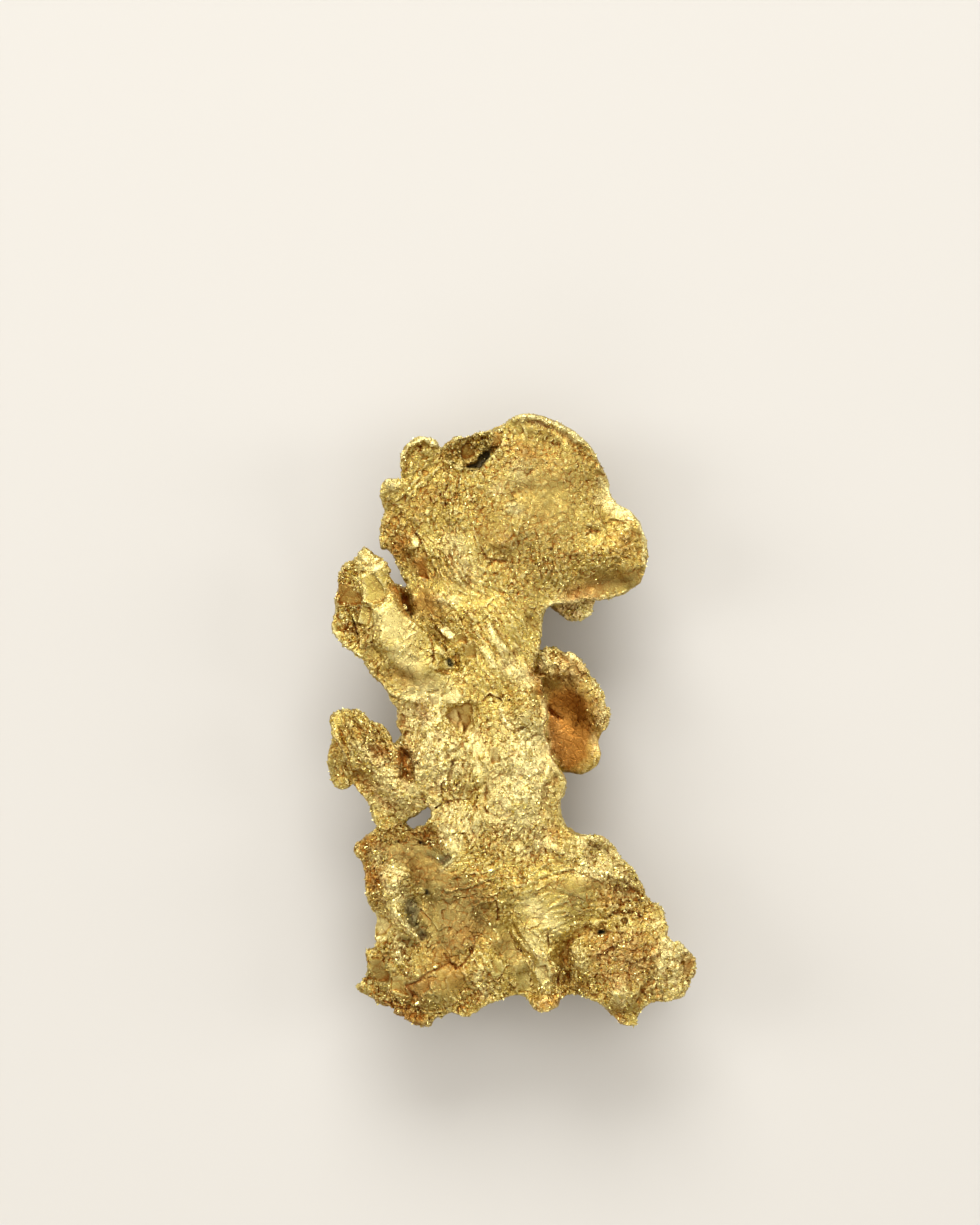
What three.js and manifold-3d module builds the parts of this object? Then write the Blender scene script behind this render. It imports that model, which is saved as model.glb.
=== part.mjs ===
// A piece of native leaf gold, lying on its back: curled and crumpled leaves of metal, grown
// together into one solid. Millimetres. +Y runs from the base to the crown, +X across the leaves,
// +Z up from the surface that the piece rests on. The origin is below the middle of the piece.
import * as THREE from 'three';
import { mergeVertices } from 'three/addons/utils/BufferGeometryUtils.js';
import Module from 'manifold-3d';

// Driving dimensions
const EDGE_STEP = 0.36; // between two corners along a broken rim
const FACET_SIZE = 0.62; // between two corners on a leaf's face
const FACET_JITTER = 0.17; // how far a corner lies from its regular place
const RIM_THICKNESS = 0.3; // of a leaf at its broken rim
const RIM_WIDTH = 1.0; // over which a leaf swells to its full thickness
const RIM_RAGGEDNESS = 0.045;
const FACET_RELIEF = 0.07; // height of the small flat facets
const CRYSTAL_SIZE = 0.3; // half the length of a small octahedral crystal
const SEED = 41;

const LEAF_THICKNESS = 0.8;
const BLADE_THICKNESS = 1.6;
const BACK_LEAF_THICKNESS = 0.7;

function seededRandom(seed) {
  let state = seed;
  return () => {
    state = (state + 0x6d2b79f5) | 0;
    let bits = Math.imul(state ^ (state >>> 15), 1 | state);
    bits = (bits + Math.imul(bits ^ (bits >>> 7), 61 | bits)) ^ bits;
    return ((bits ^ (bits >>> 14)) >>> 0) / 4294967296;
  };
}
const random = seededRandom(SEED);

function jitter(size) {
  return (2 * random() - 1) * size;
}

// ---------------------------------------------------------------- outlines and heights

// A closed smooth line through hand-set corners, cut into equal steps and made a little ragged.
function raggedOutline(corners) {
  const curve = new THREE.CatmullRomCurve3(
    corners.map(([x, y]) => new THREE.Vector3(x, y, 0)),
    true,
    'centripetal',
  );
  const steps = Math.round(curve.getLength() / EDGE_STEP);
  const line = curve.getSpacedPoints(steps).slice(0, steps);
  return line.map((p) => [p.x + jitter(RIM_RAGGEDNESS), p.y + jitter(RIM_RAGGEDNESS)]);
}

function isInside(outline, x, y) {
  let inside = false;
  for (let i = 0, j = outline.length - 1; i < outline.length; j = i, i += 1) {
    const [xi, yi] = outline[i];
    const [xj, yj] = outline[j];
    if (yi > y !== yj > y && x < ((xj - xi) * (y - yi)) / (yj - yi) + xi) {
      inside = !inside;
    }
  }
  return inside;
}

function distanceToSegment([ax, ay], [bx, by], x, y) {
  const lengthSquared = (bx - ax) ** 2 + (by - ay) ** 2;
  const along = ((x - ax) * (bx - ax) + (y - ay) * (by - ay)) / lengthSquared;
  const t = THREE.MathUtils.clamp(along, 0, 1);
  return Math.hypot(x - ax - t * (bx - ax), y - ay - t * (by - ay));
}

function distanceToLine(line, x, y) {
  let nearest = Infinity;
  for (let i = 0; i + 1 < line.length; i += 1) {
    nearest = Math.min(nearest, distanceToSegment(line[i], line[i + 1], x, y));
  }
  return nearest;
}

// A smooth surface through spots [x, y, height].
function surfaceThrough(spots) {
  return (x, y) => {
    let weights = 0;
    let sum = 0;
    for (const [sx, sy, height] of spots) {
      const weight = 1 / ((x - sx) ** 2 + (y - sy) ** 2 + 0.05) ** 2;
      weights += weight;
      sum += weight * height;
    }
    return sum / weights;
  };
}

// A ridge along a line, or a groove where the height is negative.
function ridge(line, width, height) {
  return (x, y) => height * Math.max(0, 1 - (distanceToLine(line, x, y) / width) ** 2);
}

// A round lump, or a pit where the height is negative.
function lump(cx, cy, radius, height) {
  return (x, y) => height * Math.max(0, 1 - (Math.hypot(x - cx, y - cy) / radius) ** 2);
}

// ---------------------------------------------------------------- leaves

// Corners spread over a leaf's face in staggered rows, turned at random and clear of its rim.
function faceCorners(outline) {
  const rim = [...outline, outline[0]];
  const box = new THREE.Box2().setFromPoints(outline.map(([x, y]) => new THREE.Vector2(x, y)));
  const middle = box.getCenter(new THREE.Vector2());
  const reach = 0.5 * box.getSize(new THREE.Vector2()).length();
  const rowHeight = (FACET_SIZE * Math.sqrt(3)) / 2;
  const turn = random() * Math.PI;
  const corners = [];
  let row = 0;
  for (let v = -reach; v < reach; v += rowHeight) {
    const shift = (row % 2) * 0.5 * FACET_SIZE;
    for (let u = shift - reach; u < reach; u += FACET_SIZE) {
      const x = middle.x + u * Math.cos(turn) - v * Math.sin(turn) + jitter(FACET_JITTER);
      const y = middle.y + u * Math.sin(turn) + v * Math.cos(turn) + jitter(FACET_JITTER);
      if (isInside(outline, x, y) && distanceToLine(rim, x, y) > 0.42 * FACET_SIZE) {
        corners.push([x, y]);
      }
    }
    row += 1;
  }
  return corners;
}

function circleThrough([ax, ay], [bx, by], [cx, cy]) {
  const d = 2 * (ax * (by - cy) + bx * (cy - ay) + cx * (ay - by));
  const a = ax * ax + ay * ay;
  const b = bx * bx + by * by;
  const c = cx * cx + cy * cy;
  const x = (a * (by - cy) + b * (cy - ay) + c * (ay - by)) / d;
  const y = (a * (cx - bx) + b * (ax - cx) + c * (bx - ax)) / d;
  return { x, y, radiusSquared: (ax - x) ** 2 + (ay - y) ** 2 };
}

// Delaunay triangles over points in the plane, one point added at a time.
function delaunay(points) {
  const far = 1000;
  const all = [...points, [-far, -far], [far, -far], [0, far]];
  const n = points.length;
  const makeTriangle = (a, b, c) => ({
    corners: [a, b, c],
    circle: circleThrough(all[a], all[b], all[c]),
  });
  let triangles = [makeTriangle(n, n + 1, n + 2)];
  points.forEach(([x, y], index) => {
    const openEdges = new Map();
    const kept = [];
    for (const triangle of triangles) {
      const { circle, corners } = triangle;
      if ((x - circle.x) ** 2 + (y - circle.y) ** 2 >= circle.radiusSquared) {
        kept.push(triangle);
        continue;
      }
      corners.forEach((a, side) => {
        const b = corners[(side + 1) % 3];
        if (!openEdges.delete(`${b}_${a}`)) {
          openEdges.set(`${a}_${b}`, [a, b]);
        }
      });
    }
    for (const [a, b] of openEdges.values()) {
      kept.push(makeTriangle(a, b, index));
    }
    triangles = kept;
  });
  return triangles.map(({ corners }) => corners).filter((corners) => Math.max(...corners) < n);
}

// A leaf of metal as one closed mesh: a front sheet and a back sheet over the same corners, joined
// by a wall round the rim. frontSpots give the front's height. thickness is a number or spots.
function leafGeometry({ corners, frontSpots, thickness, features = [], rim = RIM_THICKNESS }) {
  const outline = raggedOutline(corners);
  const closedOutline = [...outline, outline[0]];
  const points = [...outline, ...faceCorners(outline)];
  const triangles = delaunay(points).filter((triangle) => {
    const x = triangle.reduce((sum, i) => sum + points[i][0], 0) / 3;
    const y = triangle.reduce((sum, i) => sum + points[i][1], 0) / 3;
    return isInside(outline, x, y);
  });
  const front = surfaceThrough(frontSpots);
  const full = Array.isArray(thickness) ? surfaceThrough(thickness) : () => thickness;
  const positions = [];
  const backPositions = [];
  points.forEach(([x, y]) => {
    const inward = Math.min(1, distanceToLine(closedOutline, x, y) / RIM_WIDTH);
    const swelling = Math.sin((inward * Math.PI) / 2);
    const raised = features.reduce((sum, feature) => sum + feature(x, y), 0);
    const top = front(x, y) + raised * Math.min(1, 0.3 + inward) + jitter(FACET_RELIEF);
    const depth = rim + (full(x, y) - rim) * swelling;
    const curl = 0.25 * rim * (1 - swelling);
    positions.push(x, y, top - curl);
    backPositions.push(x, y, top - curl - depth + jitter(FACET_RELIEF) * swelling);
  });
  const backStart = points.length;
  const rimEdges = new Map();
  const index = [];
  for (const [a, b, c] of triangles) {
    index.push(a, b, c, backStart + a, backStart + c, backStart + b);
    for (const [from, to] of [[a, b], [b, c], [c, a]]) {
      if (!rimEdges.delete(`${to}_${from}`)) {
        rimEdges.set(`${from}_${to}`, [from, to]);
      }
    }
  }
  for (const [from, to] of rimEdges.values()) {
    index.push(from, backStart + from, to, to, backStart + from, backStart + to);
  }
  const geometry = new THREE.BufferGeometry();
  geometry.setAttribute('position', new THREE.Float32BufferAttribute([...positions, ...backPositions], 3));
  geometry.setIndex(index);
  return geometry;
}

// The main leaf: crown, neck, column and base.
const MAIN_CORNERS = [
  // left lobe of the crown, and the lower lip of the pocket beside it
  [-4.46, 9.54], [-4.5, 10.06], [-4.58, 10.4], [-4.46, 10.72], [-4.15, 11.12], [-3.73, 11.33],
  [-3.23, 11.29], [-2.96, 11.06], [-2.85, 10.75], [-2.6, 10.4], [-2.2, 10.2], [-1.8, 10.12],
  [-1.35, 10.0], [-1.0, 10.4], [-0.6, 10.9], [-0.35, 11.2], [-0.45, 11.5], [-0.3, 11.9],
  // top and right of the crown, down to the neck
  [0.02, 12.1], [0.48, 12.3], [1.02, 12.26], [1.6, 12.04], [2.09, 11.79], [2.57, 11.55],
  [2.86, 11.19], [3.22, 10.81], [3.51, 10.31], [3.82, 9.73], [3.9, 9.3], [3.98, 8.88],
  [4.29, 8.61], [4.74, 8.38], [5.03, 8.03], [5.23, 7.53], [5.41, 7.08], [5.43, 6.6],
  [5.37, 5.98], [5.11, 5.4], [4.66, 5.13], [4.04, 4.9], [3.54, 4.72], [3.32, 4.81],
  [2.24, 4.65], [1.48, 4.54], [1.28, 4.36],
  // right of the neck and column
  [1.23, 3.76], [1.12, 3.13], [0.96, 2.55], [0.81, 1.92], [1.08, 1.7], [1.21, 1.45],
  [1.19, 1.16], [1.43, 0.57], [1.3, -0.14], [1.44, -0.95], [1.67, -1.75], [2.14, -2.35],
  [2.22, -2.69], [1.95, -3.29], [1.97, -3.69], [2.32, -4.39],
  // right of the base, with its lobe and foot
  [2.9, -4.62], [3.64, -4.7], [4.06, -5.1], [4.34, -5.55], [4.85, -5.94], [5.22, -6.51],
  [5.39, -7.19], [5.89, -7.47], [6.15, -8.03], [6.2, -8.43], [6.18, -8.85], [6.46, -8.88],
  [6.74, -8.85], [7.08, -9.3], [7.39, -9.84], [7.19, -10.46], [6.91, -11.08], [6.63, -11.25],
  [6.29, -11.31], [5.61, -11.31], [5.39, -11.5], [4.99, -11.93], [5.08, -12.12], [4.93, -12.27],
  [4.71, -12.35], [4.43, -12.27], [3.86, -11.81], [3.55, -11.39], [3.04, -11.19],
  [2.42, -11.03], [1.93, -11.1],
  // bottom of the base
  [1.89, -11.33], [1.69, -11.59], [1.29, -11.68], [0.94, -11.62], [0.71, -11.39],
  [0.62, -11.16], [-0.22, -11.19], [-0.97, -11.42], [-1.84, -11.97], [-2.39, -11.75],
  [-2.56, -11.91], [-3.0, -11.99], [-3.19, -12.32], [-3.44, -12.41], [-4.1, -12.16],
  [-4.76, -11.69], [-5.53, -11.28], [-6.19, -10.92], [-6.28, -10.73],
  // left of the base
  [-5.97, -10.45], [-5.84, -9.84], [-5.97, -9.24], [-5.5, -9.26], [-5.56, -8.52],
  [-5.48, -7.86], [-5.75, -7.47], [-5.81, -7.09], [-5.95, -6.32], [-6.08, -5.71],
  [-6.44, -5.38], [-6.3, -5.13], [-5.75, -4.62], [-5.29, -4.33], [-4.6, -4.15],
  [-4.25, -4.25], [-4.0, -4.42], [-3.77, -4.3], [-3.45, -4.24],
  // left of the column, which runs up behind the upper blade
  [-3.28, -3.95], [-3.2, -3.6], [-3.6, -3.1], [-3.9, -2.5], [-4.0, -1.9], [-4.25, -1.35],
  [-4.46, -1.03], [-4.44, -0.71], [-4.66, -0.11], [-4.58, 0.37], [-4.86, 0.68],
  [-5.02, 1.08], [-4.6, 1.6], [-4.3, 2.4], [-4.0, 3.2], [-4.05, 4.04],
  // left of the crown
  [-4.24, 5.23], [-4.5, 5.88], [-4.73, 6.33], [-4.97, 6.78], [-5.36, 6.87], [-5.37, 7.22],
  [-5.25, 7.79], [-5.17, 8.33], [-5.17, 8.6], [-5.35, 8.98], [-5.31, 9.33], [-5.08, 9.67],
  [-4.69, 9.66],
];

const MAIN_FRONT = [
  // crown: a low dome with a lip along its top right, and a lower margin on the left
  [0.6, 12.1, 3.95], [2.3, 11.5, 3.85], [3.5, 10.2, 3.65], [3.9, 9.2, 3.5], [1.2, 11.4, 3.75],
  [0.5, 10.5, 4.05], [2.0, 10.0, 4.1], [0.0, 8.6, 4.3], [0.6, 9.1, 4.05], [1.7, 8.0, 4.25],
  [3.0, 8.5, 4.0], [3.3, 7.6, 4.0], [4.2, 8.3, 3.75], [4.6, 7.2, 4.3], [5.2, 6.9, 3.9],
  [4.7, 6.0, 4.0], [4.3, 5.3, 3.4], [3.0, 5.5, 3.7], [3.0, 6.6, 4.25], [1.5, 6.3, 4.25],
  [1.4, 5.0, 3.95], [-0.3, 7.1, 4.4], [-0.6, 6.4, 4.0], [-1.0, 5.3, 4.15], [-2.2, 8.2, 4.15],
  [-2.1, 6.4, 4.15], [-2.0, 9.6, 4.15], [-3.3, 8.6, 3.75], [-3.4, 7.0, 3.65],
  [-4.3, 7.5, 3.35], [-5.1, 8.0, 3.2], [-5.0, 9.3, 3.6], [-4.6, 6.6, 3.15],
  [-3.7, 5.6, 3.35], [-3.5, 10.3, 3.5], [-4.4, 10.5, 3.9], [-3.7, 11.2, 3.85],
  // neck and column: they come forward towards a rounded crest on the right
  [-3.7, 4.6, 3.5], [-2.6, 4.8, 3.9], [-1.4, 4.1, 4.25], [0.0, 3.9, 4.3], [0.95, 3.8, 3.7],
  [0.5, 2.7, 4.0], [-0.7, 2.5, 4.5], [-2.4, 2.7, 3.9], [-3.3, 3.2, 3.6], [-3.2, 1.6, 4.3],
  [-1.9, 1.4, 4.2], [0.2, 1.4, 4.6], [1.1, 1.3, 4.0], [-1.0, 0.5, 4.5], [0.6, 0.2, 4.95],
  [-1.9, 0.1, 4.15], [-3.2, 0.5, 4.5], [-4.4, 0.6, 3.9], [-4.1, -0.6, 4.0],
  [-3.1, -1.2, 4.7], [-1.7, -1.3, 4.6], [0.4, -1.5, 5.3], [1.3, -1.2, 4.6],
  [-3.0, -2.6, 4.4], [-1.8, -2.8, 4.5], [-0.5, -2.9, 4.7], [0.6, -3.1, 5.3], [1.7, -3.0, 4.5],
  [-2.6, -3.9, 4.4], [-1.0, -4.0, 4.6], [1.0, -4.3, 4.8], [2.1, -4.3, 4.2],
  // base: a bright shoulder, a sloping band below it and a cream ridge down the left
  [-4.5, -4.6, 3.6], [-6.1, -5.4, 3.2], [-5.2, -5.3, 3.7], [-3.5, -5.4, 3.9],
  [-2.0, -5.3, 4.4], [0.0, -5.6, 4.6], [2.0, -5.1, 4.9], [3.2, -5.1, 4.3], [3.6, -6.0, 4.9],
  [4.5, -6.3, 4.6], [5.1, -6.9, 4.1], [-5.5, -6.4, 4.1], [-4.8, -6.4, 4.65],
  [-3.9, -7.6, 3.85], [-2.6, -6.8, 4.35], [-1.0, -6.9, 4.6], [0.8, -7.0, 4.95],
  [2.6, -6.9, 5.0], [4.1, -7.5, 4.75], [5.6, -8.0, 4.5], [-5.2, -8.4, 3.5],
  [-4.5, -8.0, 4.4], [-3.2, -8.5, 4.3], [-2.1, -8.9, 4.65], [-0.9, -8.0, 4.2],
  [0.0, -9.2, 4.1], [0.6, -10.3, 4.1], [0.9, -8.7, 4.95], [1.25, -10.0, 5.05],
  [2.2, -9.6, 4.3], [3.0, -9.5, 4.95], [3.6, -8.5, 4.55], [4.6, -9.0, 5.05],
  [5.9, -9.3, 4.75], [6.8, -9.6, 4.5], [7.2, -10.2, 4.1],
  [-5.9, -10.7, 3.4], [-5.2, -9.9, 3.75], [-4.3, -10.7, 4.3], [-3.4, -12.0, 3.9],
  [-2.8, -10.8, 4.5], [-1.4, -11.2, 4.2], [-1.0, -10.0, 4.6], [0.3, -11.0, 4.0],
  [1.3, -11.4, 4.6], [2.3, -10.8, 4.1], [3.5, -10.9, 4.8], [4.3, -10.8, 5.15],
  [4.8, -12.0, 4.5], [5.5, -10.8, 4.6], [6.4, -10.9, 4.4],
];

const MAIN_THICKNESS = [
  [0.5, 9.5, 1.1], [3.6, 7.5, 1.5], [4.6, 6.4, 1.7], [-3.5, 8.5, 0.8], [0.0, 6.0, 1.3],
  [-3.5, 5.5, 0.9], [-1.0, 4.0, 1.6], [-1.5, 1.5, 2.2], [-2.5, 0.0, 2.3], [0.2, -1.5, 2.6],
  [-1.5, -3.5, 2.3], [-4.5, -6.0, 1.3], [-1.5, -7.0, 1.6], [2.0, -6.5, 1.9], [4.4, -6.8, 1.7],
  [-4.8, -10.0, 1.0], [-2.0, -10.0, 1.5], [0.2, -10.0, 1.0], [1.3, -10.0, 1.9],
  [4.2, -9.5, 2.2], [6.5, -10.0, 1.5], [4.7, -11.6, 1.5],
];

const MAIN_FEATURES = [
  // the raised rim of the left lobe, the lip of the crown and the step beside the right lobe
  ridge([[-4.45, 9.7], [-4.45, 10.6], [-3.8, 11.2], [-3.1, 11.1]], 0.45, 0.25),
  ridge([[0.2, 12.0], [1.6, 11.8], [2.8, 11.0], [3.7, 9.6]], 0.5, 0.22),
  ridge([[3.0, 9.0], [3.9, 8.2], [4.1, 7.4]], 0.5, -0.22),
  // the edge of the round crown leaf over the left margin
  ridge([[-2.9, 9.7], [-3.1, 8.2], [-2.7, 6.7], [-1.9, 5.5]], 0.55, -0.16),
  // the long crevices of the neck, column and base
  ridge([[-3.3, 3.3], [-3.1, 2.2]], 0.4, -0.35),
  ridge([[-1.4, 0.6], [-0.9, 1.0], [0.2, 0.9]], 0.4, -0.3),
  ridge([[-3.0, -3.6], [-2.2, -3.2], [-1.5, -3.15]], 0.4, -0.25),
  ridge([[-1.2, -7.9], [-0.3, -8.6], [0.2, -9.5], [1.0, -10.9]], 0.55, -0.3),
  ridge([[3.2, -8.3], [2.4, -8.8], [2.1, -9.5], [2.2, -10.3]], 0.5, -0.3),
  ridge([[-4.4, -6.6], [-3.8, -7.6], [-3.5, -8.6]], 0.6, -0.3),
  ridge([[-5.5, -5.4], [-4.7, -6.1], [-4.5, -7.5], [-3.9, -8.6]], 0.5, 0.3),
  // lumps and pits
  lump(0.6, 0.2, 0.65, 0.3),
  lump(-4.9, 9.35, 0.5, 0.3),
  lump(2.7, -9.4, 0.45, 0.3),
  lump(1.3, -11.3, 0.5, 0.3),
  lump(-2.45, 2.25, 0.5, -0.4),
  lump(-1.9, 0.1, 0.6, -0.35),
  lump(3.6, -8.5, 0.4, -0.45),
];

function mainLeaf() {
  return leafGeometry({
    corners: MAIN_CORNERS,
    frontSpots: MAIN_FRONT,
    thickness: MAIN_THICKNESS,
    features: MAIN_FEATURES,
  });
}

// The thin leaf behind the notch in the crown's top edge.
function pocketLeaf() {
  return leafGeometry({
    corners: [
      [-3.0, 10.6], [-2.77, 10.91], [-2.46, 11.2], [-2.0, 11.31], [-1.5, 11.48], [-0.85, 11.61],
      [-0.42, 11.83], [0.0, 12.05], [0.6, 11.9], [0.6, 10.6], [-0.2, 9.7], [-1.6, 9.4],
      [-2.9, 9.7],
    ],
    frontSpots: [
      [-2.6, 10.9, 3.5], [-1.5, 11.4, 3.5], [-0.5, 11.7, 3.2], [0.3, 11.0, 3.0],
      [-2.0, 10.6, 3.1], [-1.2, 10.7, 2.9], [-1.4, 9.8, 3.0], [-2.6, 10.0, 3.0],
    ],
    thickness: LEAF_THICKNESS,
  });
}

// The blade that points up and to the left from the column.
function upperBlade() {
  return leafGeometry({
    corners: [
      [-5.96, 6.91], [-5.59, 6.68], [-5.22, 6.42], [-4.87, 6.13], [-4.87, 5.68], [-4.56, 5.23],
      [-4.46, 4.73], [-4.03, 4.04], [-3.2, 3.3], [-2.5, 2.5], [-2.2, 1.7], [-2.6, 1.0],
      [-3.5, 0.6], [-4.3, 0.7], [-4.97, 1.06], [-5.1, 1.29], [-5.51, 1.6], [-5.84, 2.17],
      [-6.21, 2.6], [-6.62, 2.95], [-7.05, 3.3], [-7.23, 3.71], [-7.15, 4.28], [-7.03, 4.57],
      [-7.03, 5.51], [-7.01, 5.84], [-6.62, 6.21], [-6.23, 6.56],
    ],
    frontSpots: [
      [-5.8, 6.6, 4.3], [-5.2, 6.1, 4.6], [-5.4, 5.2, 4.5], [-4.8, 5.3, 4.5], [-6.6, 5.9, 4.0],
      [-6.5, 5.1, 4.1], [-6.9, 4.9, 3.7], [-5.9, 4.2, 4.3], [-6.7, 3.8, 3.8],
      [-5.4, 4.3, 5.0], [-4.6, 4.3, 4.8], [-5.1, 3.3, 5.1], [-4.1, 3.6, 4.7],
      [-4.3, 2.5, 5.1], [-3.3, 2.9, 4.5], [-3.5, 2.0, 4.9], [-5.9, 2.8, 4.2],
      [-5.1, 1.8, 4.4], [-4.3, 1.2, 4.4], [-2.8, 1.6, 4.3],
    ],
    thickness: BLADE_THICKNESS,
    features: [
      ridge([[-6.3, 3.9], [-6.1, 3.2]], 0.4, -0.25),
      ridge([[-6.1, 5.7], [-6.0, 4.6]], 0.35, -0.15),
    ],
  });
}

// The blade below it, which reaches from the left down to the base.
function lowerBlade() {
  return leafGeometry({
    corners: [
      [-7.34, -0.03], [-7.14, 0.31], [-6.77, 0.41], [-6.21, 0.39], [-5.95, 0.29],
      [-5.75, -0.07], [-5.34, -0.11], [-4.98, -0.51], [-4.66, -1.07], [-4.36, -1.42],
      [-4.47, -1.9], [-4.42, -2.5], [-3.98, -2.54], [-3.3, -2.4], [-3.1, -3.1], [-3.41, -3.53],
      [-3.87, -3.89], [-4.42, -4.18], [-4.7, -4.6], [-5.2, -4.6], [-5.53, -4.21],
      [-5.69, -3.73], [-5.71, -3.45], [-5.95, -3.15], [-6.31, -2.62], [-6.55, -2.0],
      [-6.85, -1.2], [-7.2, -0.55],
    ],
    frontSpots: [
      [-7.0, 0.1, 3.7], [-6.2, 0.2, 4.2], [-5.4, -0.5, 4.6], [-4.7, -1.2, 4.5],
      [-6.7, -0.8, 4.0], [-6.0, -1.0, 4.6], [-5.3, -1.3, 4.4], [-5.0, -1.9, 4.7],
      [-5.9, -2.4, 3.9], [-5.4, -2.9, 4.0], [-4.6, -2.8, 4.6], [-3.8, -3.0, 4.3],
      [-4.9, -3.5, 4.0], [-5.5, -3.9, 3.6], [-4.3, -4.0, 3.7],
    ],
    thickness: 1.2,
    features: [lump(-4.95, -1.7, 0.35, -0.3), ridge([[-6.2, -2.2], [-4.9, -3.4]], 0.4, -0.2)],
  });
}

// The small flake at the far left, behind the lower blade.
function sideFlake() {
  return leafGeometry({
    corners: [
      [-6.3, -2.5], [-6.61, -2.89], [-7.06, -2.87], [-7.38, -2.18], [-7.42, -1.5],
      [-7.24, -0.87], [-7.3, -0.3], [-6.7, -0.3], [-6.0, -1.0], [-5.8, -2.0],
    ],
    frontSpots: [[-7.2, -2.2, 3.1], [-7.1, -1.2, 3.4], [-6.6, -2.2, 3.5], [-6.2, -1.4, 3.7]],
    thickness: LEAF_THICKNESS,
  });
}

// The web of metal that closes the pocket between the lower blade and the column.
function web() {
  return leafGeometry({
    corners: [
      [-4.7, -0.9], [-3.9, -0.6], [-3.2, -1.2], [-3.1, -2.5], [-3.6, -3.1], [-4.5, -3.0],
      [-4.9, -2.0],
    ],
    frontSpots: [[-4.2, -1.2, 3.4], [-4.2, -2.2, 2.9], [-3.6, -2.8, 3.2]],
    thickness: LEAF_THICKNESS,
  });
}

// The rounded leaf that stands out on the right, behind the column.
function backLeaf() {
  return leafGeometry({
    corners: [
      [0.4, 2.5], [1.05, 2.77], [1.52, 2.86], [2.0, 2.77], [2.13, 2.61], [2.47, 2.66],
      [2.78, 2.37], [3.09, 1.87], [3.39, 1.47], [3.68, 0.98], [3.86, 0.39], [3.92, -0.19],
      [3.81, -0.46], [3.48, -0.78], [3.57, -1.42], [3.53, -1.72], [3.27, -2.02],
      [2.67, -2.23], [2.01, -2.15], [1.0, -2.2], [0.2, -1.2], [0.0, 1.2],
    ],
    frontSpots: [
      [1.2, 2.4, 3.2], [2.2, 2.2, 3.1], [3.1, 1.4, 3.1], [3.7, 0.2, 3.0], [2.2, 1.0, 2.7],
      [2.5, -0.2, 2.4], [2.4, -1.4, 2.5], [3.3, -1.5, 2.8], [1.2, 0.6, 2.5], [1.2, -1.4, 2.4],
    ],
    thickness: BACK_LEAF_THICKNESS,
    features: [ridge([[1.4, 0.5], [2.1, -0.1]], 0.35, -0.15)],
  });
}

// The stub that shows below the crown's right lobe.
function nub() {
  return leafGeometry({
    corners: [
      [1.2, 5.0], [1.55, 4.52], [1.88, 4.21], [2.33, 3.93], [2.78, 3.9], [3.12, 4.16],
      [3.3, 4.65], [3.4, 5.3], [2.4, 6.0], [1.4, 5.8],
    ],
    frontSpots: [[2.6, 4.1, 3.0], [1.8, 4.6, 2.8], [3.0, 4.8, 3.2], [2.4, 5.6, 3.2]],
    thickness: BACK_LEAF_THICKNESS,
  });
}

// Crumpled leaves on the underside. They slope down from the main leaf to the worn spots that the
// piece rests on.
function crownUnderLeaf() {
  return leafGeometry({
    corners: [
      [-2.9, 6.2], [-3.6, 7.4], [-3.3, 8.3], [-3.8, 9.3], [-3.0, 10.2], [-2.1, 10.0],
      [-1.3, 10.9], [-0.2, 10.7], [0.5, 11.5], [1.6, 11.2], [2.2, 10.3], [3.2, 9.8], [3.3, 8.7],
      [4.3, 7.9], [4.2, 6.7], [3.3, 6.1], [2.2, 6.3], [1.2, 5.4], [-0.2, 5.6], [-1.4, 5.0],
    ],
    frontSpots: [
      [-2.6, 6.8, 3.4], [-3.2, 9.0, 2.6], [-1.8, 8.4, 2.0], [-0.9, 10.2, 1.1], [0.4, 9.5, 0.6],
      [1.3, 10.5, 0.7], [2.4, 9.4, 1.7], [3.6, 7.6, 2.9], [1.8, 7.4, 2.3], [0.4, 6.2, 3.3],
      [-1.2, 5.8, 3.4], [2.6, 6.6, 3.2],
    ],
    thickness: LEAF_THICKNESS,
    features: [ridge([[-3.0, 7.4], [-1.4, 7.9], [0.2, 7.6]], 0.6, 0.3)],
  });
}

function baseUnderLeaf() {
  return leafGeometry({
    corners: [
      [-2.6, -5.0], [-3.9, -5.6], [-4.6, -6.6], [-5.3, -7.2], [-5.0, -8.4], [-5.5, -9.3],
      [-5.1, -10.4], [-4.0, -11.0], [-3.2, -10.5], [-2.2, -10.9], [-1.4, -10.0], [-0.4, -10.4],
      [0.6, -9.6], [1.6, -10.4], [2.6, -10.2], [3.3, -11.0], [4.6, -11.2], [5.2, -10.4],
      [6.1, -9.9], [5.9, -8.8], [5.2, -8.1], [4.9, -6.9], [3.9, -6.2], [2.9, -5.4],
      [1.2, -5.6], [0.2, -4.9], [-1.2, -5.4],
    ],
    frontSpots: [
      [-3.6, -6.2, 3.2], [-4.8, -7.4, 2.4], [-3.6, -8.2, 1.5], [-4.4, -9.7, 0.65],
      [-3.4, -10.1, 0.7], [-2.2, -9.2, 1.9], [-0.6, -8.4, 2.9], [-1.4, -6.4, 3.3],
      [0.8, -6.6, 3.4], [1.6, -8.6, 2.5], [2.6, -9.4, 1.5], [3.8, -9.7, 0.6],
      [4.6, -10.3, 0.7], [5.4, -9.2, 1.5], [4.4, -7.8, 2.3], [3.4, -6.4, 3.2],
    ],
    thickness: LEAF_THICKNESS,
    features: [ridge([[-4.6, -8.4], [-2.6, -7.6], [-1.2, -7.4]], 0.6, 0.3)],
  });
}

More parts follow.
